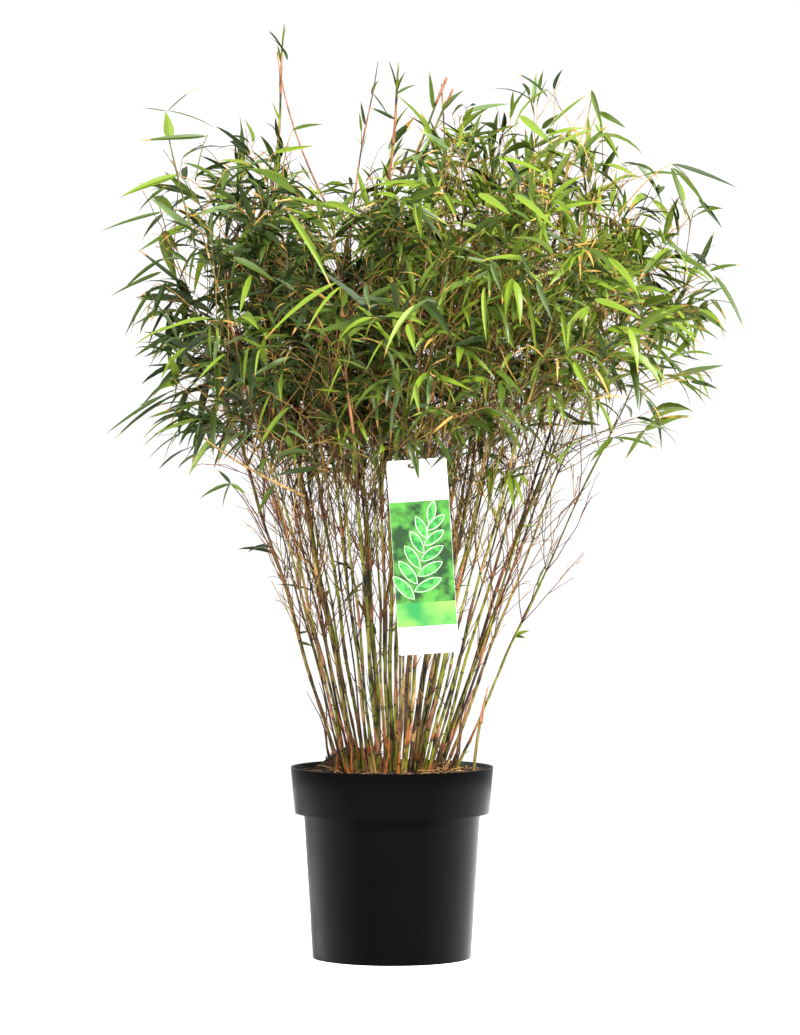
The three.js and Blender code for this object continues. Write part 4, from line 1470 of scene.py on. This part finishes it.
def potMaterial(name, light, dark):
    material, tree, shader = newMaterial(name)
    dust = noiseOver(tree, potFinish["dust"], potFinish["detail"])
    grain = noiseOver(tree, potFinish["grain"])
    # A faint polish that only shows where the wall turns away.
    turned = addNode(tree, "LayerWeight", {})["Facing"]
    setInputs(shader, {
        "Base Color": blendTones(tree, dust, linear(*dark), linear(*light)),
        "Specular IOR Level": potFinish["specular"],
        "Roughness": ranged(tree, dust, to=potFinish["roughness"]),
        "Normal": reliefOf(tree, grain, potFinish["relief"], potFinish["reliefStrength"]),
        "Coat Weight": ranged(tree, turned, potFinish["polishFrom"], to=potFinish["polish"]),
        "Coat Roughness": potFinish["polishRoughness"],
    })
    return material


potMesh = buildPot()
addPiece("potShell", potMesh, potMaterial("potPlastic", (6, 6, 6), (2, 2, 2)), ["pot"])
potMesh.materials.append(potMaterial("potInside", (62, 76, 64), (46, 56, 48)))
print("pot done")


# Compost: a bumpy bed with a crumbling heap, clods, straw and white grains.

compost = {
    "gap": 0.0004,
    "heap": (-0.06, 0.086),
    "heapRadius": 0.036,
    "heapHeight": 0.024,
    "ripple": 0.0032,
    "waves": 38,              # how closely the ripples, and the small bumps on them, follow each other
    "bumps": 160,
    "bumpShare": 0.5,
    "rings": 34,
    "steps": 120,
    "crumbReach": 0.132,
    "straws": 120,
    "strawReach": 0.118,
    "strawLength": (0.012, 0.05),
    "strawRadius": (0.0004, 0.001),
    "lumpSpread": (0.5, 1.3),
    "lumpCorners": (0.7, 1.3),
    "lumpTilt": (-0.5, 0.5),
    "lumpRise": 0.4,
    "specular": 0.25,
    "roughness": 0.92,
    "relief": 0.0015,
}


def soilHeight(x, y):
    wave, bump = compost["waves"], compost["bumps"]
    waves = noise.fractal(Vector((x * wave, y * wave, 3.1)), 1.0, 2.0, 4)
    bumps = noise.noise(Vector((x * bump, y * bump, 8.4)))
    ripple = compost["ripple"] * (waves + compost["bumpShare"] * bumps)
    gap = math.hypot(x - compost["heap"][0], y - compost["heap"][1]) / compost["heapRadius"]
    return soilTop - 0.001 + ripple + compost["heapHeight"] * math.exp(-gap ** 4)


def buildSoil():
    shoulder = pot["height"] - pot["bandHeight"]
    inset = pot["wall"] + compost["gap"]
    rim = pot["rimRadius"] - 0.0006 - inset
    rings = compost["rings"]
    profile = [(rim * step / rings, soilTop) for step in range(rings + 1)] + [
        (pot["bandFootRadius"] - inset, shoulder + inset),
        (pot["bodyTopRadius"] - inset, shoulder + inset),
        (pot["footRadius"] - inset, pot["baseThickness"] + compost["gap"]),
        (0, pot["baseThickness"] + compost["gap"]),
    ]
    form = spunForm(profile, compost["steps"])
    for vert in form.verts:
        away = math.hypot(vert.co.x, vert.co.y)
        if abs(vert.co.z - soilTop) < 1e-6 and away < rim - 0.001:
            vert.co.z = soilHeight(vert.co.x, vert.co.y)
    return meshFromForm("soilBed", form)


def spotsOnBed(reach, count):
    away = reach * np.sqrt(chance.random(count))
    angle = spreadOf(0, 2 * math.pi, count)
    x, y = away * np.cos(angle), away * np.sin(angle)
    return x, y, np.array([soilHeight(*spot) for spot in zip(x, y)])


def crumbMesh(name, count, size, flat):
    # Small lumps of eight faces each, pressed a little into the bed.
    x, y, z = spotsOnBed(compost["crumbReach"], count)
    shape = np.array([(1, 0, 0), (0, 1, 0), (-1, 0, 0), (0, -1, 0), (0, 0, 1), (0, 0, -1)], float)
    least, most = compost["lumpSpread"]
    scale = chance.uniform(size * least, size * most, (count, 1, 3))
    scale[..., 2] *= flat
    lumps = shape[None] * scale * chance.uniform(*compost["lumpCorners"], (count, 6, 1))
    turn = spreadOf(0, math.pi, count)[:, None]
    tilt = spreadOf(*compost["lumpTilt"], count)[:, None]
    along = lumps[..., 0] * np.cos(turn) - lumps[..., 1] * np.sin(turn)
    over = lumps[..., 0] * np.sin(turn) + lumps[..., 1] * np.cos(turn)
    up = lumps[..., 2] + along * np.sin(tilt)
    spots = np.stack((x, y, z + size * flat * compost["lumpRise"]), axis=1)
    points = np.stack((along, over, up), axis=2) + spots[:, None]
    # Round the lump, its four upper faces and its four lower ones.
    upper = [(side, (side + 1) % 4, 4) for side in range(4)]
    lower = [((side + 1) % 4, side, 5) for side in range(4)]
    faces = ((np.arange(count) * 6)[:, None, None] + np.array(upper + lower)[None]).reshape(-1, 3).tolist()
    mesh = meshFromArrays(name, points, faces)
    mesh.shade_flat()
    return mesh


def strawMesh(name, count):
    x, y, z = spotsOnBed(compost["strawReach"], count)
    length = spreadOf(*compost["strawLength"], count)
    heading = spreadOf(0, 2 * math.pi, count)
    inside = np.hypot(x + length * np.cos(heading), y + length * np.sin(heading)) < compost["crumbReach"]
    straws = {
        "root": np.stack((x, y, z + 0.0012), axis=1),
        "heading": heading,
        "pitch": spreadOf(0.05, 0.5, count),
        "droop": spreadOf(0.3, 1.0, count),
        "yaw": spreadOf(-0.9, 0.9, count),
        "length": length,
    }
    lines = hangingLines(straws, np.linspace(0, 1, 5))[0][inside]
    radius = spreadOf(*compost["strawRadius"], len(lines))
    return twigMesh(name, lines, radius, radius * 0.7)


def soilMaterial(name, light, dark, scale):
    material, tree, shader = newMaterial(name)
    crumb = noiseOver(tree, scale, 6)
    setInputs(shader, {
        "Base Color": blendTones(tree, crumb, linear(*dark), linear(*light)),
        "Specular IOR Level": compost["specular"],
        "Roughness": compost["roughness"],
        "Normal": reliefOf(tree, crumb, compost["relief"]),
    })
    return material


# How many, how large and how flat, with no size for straws, then the light and dark tone and how fine
# they alternate.
crumbs = {
    "soilClods": (900, 0.0032, 0.7, "clod", (58, 42, 32), (20, 15, 12), 420),
    "barkChips": (160, 0.0045, 0.3, "barkChip", (112, 78, 50), (62, 42, 28), 300),
    "strawBits": (compost["straws"], 0, 0, "straw", (158, 124, 78), (110, 78, 46), 400),
    "whiteGrains": (60, 0.0014, 0.9, "whiteGrain", (236, 234, 226), (196, 192, 182), 300),
}
addPiece("soilBed", buildSoil(), soilMaterial("compost", (62, 46, 34), (26, 19, 15), 240), ["soil"])
for name, (count, size, flat, *finish) in crumbs.items():
    if size:
        addPiece(name, crumbMesh(name, count, size, flat), soilMaterial(*finish))
    else:
        addPiece(name, strawMesh(name, count), streakedMaterial(*finish))
print("compost done")


# The label: the CAD card, with a printed field of green and a sprig of leaves on it.

labelPrint = {
    "pictureTop": 0.075,      # above the card's middle
    "pictureBottom": -0.062,
    "bandBottom": -0.094,
    "proud": 0.00012,
    "specular": 0.5,
    "roughness": 0.35,
    "outline": 0.0012,
    "leaf": (0.04, 0.013),
    "leaves": 11,
    # At the stalk's foot, and how much less at its tip.
    "away": (0.95, 0.35),
    "smaller": (0.3, 0.25),    # how much shorter and narrower the leaves are at its tip
    "stalk": ((-0.016, -0.056, 0), (0.012, 0.046, 0)),
}


def onLabel(name, form):
    turn = Matrix.Rotation(-labelPlace["lean"], 4, "Y") @ Matrix.Rotation(math.pi / 2, 4, "X")
    place = Matrix.Translation((labelPlace["x"], labelPlace["y"] - 0.00045, labelPlace["z"]))
    bmesh.ops.transform(form, matrix=place @ turn, verts=form.verts)
    mesh = bpy.data.meshes.new(name)
    form.to_mesh(mesh)
    form.free()
    return mesh


def printedField(bottom, top, lift):
    form = bmesh.new()
    corner = bmesh.ops.create_grid(form, x_segments=1, y_segments=1, size=0.5)["verts"]
    bmesh.ops.scale(form, vec=(labelPlace["width"] - 0.0006, top - bottom, 1), verts=corner)
    bmesh.ops.translate(form, vec=(0, (top + bottom) / 2, lift), verts=corner)
    return form


def printMaterial(name, light, dark, scale):
    material, tree, shader = newMaterial(name)
    spread = ranged(tree, noiseOver(tree, scale, 3), 0.38, 0.62)
    setInputs(shader, {
        "Base Color": blendTones(tree, spread, linear(*dark), linear(*light)),
        "Specular IOR Level": labelPrint["specular"],
        "Roughness": labelPrint["roughness"],
    })
    return material


def sprigForm(grow, lift):
    # A leaning stalk with pointed leaves in turn to its two sides; outlines are the same shapes, grown.
    form = bmesh.new()
    foot, tip = Vector(labelPrint["stalk"][0]), Vector(labelPrint["stalk"][1])
    rise = math.atan2(tip.y - foot.y, tip.x - foot.x)
    away, closer = labelPrint["away"]
    shorter, narrower = labelPrint["smaller"]
    for row in range(labelPrint["leaves"]):
        share = row / (labelPrint["leaves"] - 1)
        side = -1 if row % 2 else 1
        last = row == labelPrint["leaves"] - 1
        turn = rise if last else rise + side * (away - closer * share)
        long = (labelPrint["leaf"][0] * (1 - shorter * share)) / 2 + grow
        wide = labelPrint["leaf"][1] * (1 - narrower * share) / 2 + grow
        made = bmesh.ops.create_circle(form, cap_ends=True, segments=24, radius=1)["verts"]
        for vert in made:
            vert.co.y *= abs(vert.co.y) ** 0.5 * wide
            vert.co.x *= long
        place = foot.lerp(tip, share) + Vector((math.cos(turn), math.sin(turn), 0)) * (long - grow)
        bmesh.ops.rotate(form, cent=(0, 0, 0), matrix=Matrix.Rotation(turn, 3, "Z"), verts=made)
        bmesh.ops.translate(form, vec=(place.x, place.y, lift + 0.00001 * row), verts=made)
    return form


cardPaint = printMaterial("cardWhite", (206, 207, 205), (196, 198, 195), 30)
for node in (nodes["label"], nodes["label_strap"]):
    node.data.materials.clear()
    node.data.materials.append(cardPaint)
proud = labelPrint["proud"]
top, middle, bottom = labelPrint["pictureTop"], labelPrint["pictureBottom"], labelPrint["bandBottom"]
labelPieces = {
    "labelPicture": (printedField(middle, top, proud), ("printGreen", (62, 124, 44), (18, 48, 18), 55)),
    "labelBand": (printedField(bottom, middle, proud), ("printBand", (104, 150, 66), (30, 112, 52), 18)),
    "sprigOutline": (
        sprigForm(labelPrint["outline"], 2 * proud), ("printPale", (170, 196, 160), (150, 180, 140), 90),
    ),
    "sprigLeaves": (sprigForm(0, 3 * proud), ("printMint", (70, 156, 66), (30, 96, 40), 120)),
}
for name, (form, finish) in labelPieces.items():
    addPiece(name, onLabel(name, form), printMaterial(*finish))
print("label done")


# Floor, light and camera.

stage = {
    "floorRadius": 2.2,
    "floorPale": (0.97, 0.97, 0.97, 1),
    "floorGlow": 0.44,     # to the camera the floor is as pale as the backdrop: only faint shadows show
    "sky": 0.56,           # as a light on the plant
    "skySeen": 0.5,        # added behind the plant, which makes it white
    "aim": (0, 0, 0.75),
    # Place, size and power.
    "lamps": {"keyLight": ((1.9, -2.9, 3.3), 1.0, 640), "fillLight": ((-2.8, -2.4, 2.2), 1.4, 150)},
    "lens": 149.1,
    "camera": (0.0112, -6.0, 0.72),
    "cameraAim": (0.0112, 0, 0.616),
}
white = (1, 1, 1, 1)


def turnTo(piece, place, aim):
    piece.location = place
    piece.rotation_euler = (Vector(aim) - Vector(place)).to_track_quat("-Z", "Y").to_euler()


def buildFloor():
    form = bmesh.new()
    bmesh.ops.create_circle(form, cap_ends=True, segments=96, radius=stage["floorRadius"])
    mesh = bpy.data.meshes.new("floor")
    form.to_mesh(mesh)
    form.free()
    material, tree, shader = newMaterial("floorPale")
    seen = addNode(tree, "LightPath", {})["Is Camera Ray"]
    glow = addNode(tree, "Math", {0: seen, 1: stage["floorGlow"]}, operation="MULTIPLY")["Value"]
    setInputs(shader, {
        "Base Color": stage["floorPale"],
        "Roughness": 0.9,
        "Specular IOR Level": 0.1,
        "Emission Color": white,
        "Emission Strength": glow,
    })
    mesh.materials.append(material)
    newObject("floor", mesh)


def buildLight():
    world = bpy.data.worlds.new("studio")
    world.use_nodes = True
    tree = world.node_tree
    seen = addNode(tree, "LightPath", {})["Is Camera Ray"]
    parts = {0: seen, 1: stage["skySeen"], 2: stage["sky"]}
    strength = addNode(tree, "Math", parts, operation="MULTIPLY_ADD")["Value"]
    setInputs(tree.nodes["Background"], {"Color": white, "Strength": strength})
    bpy.context.scene.world = world
    for name, (place, size, power) in stage["lamps"].items():
        lamp = bpy.data.lights.new(name, "AREA")
        lamp.size = size
        lamp.energy = power
        turnTo(newObject(name, lamp), place, stage["aim"])


def buildCamera():
    lens = bpy.data.cameras.new("camera")
    lens.lens = stage["lens"]
    lens.clip_end = 100
    camera = newObject("camera", lens)
    turnTo(camera, stage["camera"], stage["cameraAim"])
    bpy.context.scene.camera = camera


buildFloor()
buildLight()
buildCamera()
bpy.context.scene.view_settings.view_transform = "Standard"
print("stage done")
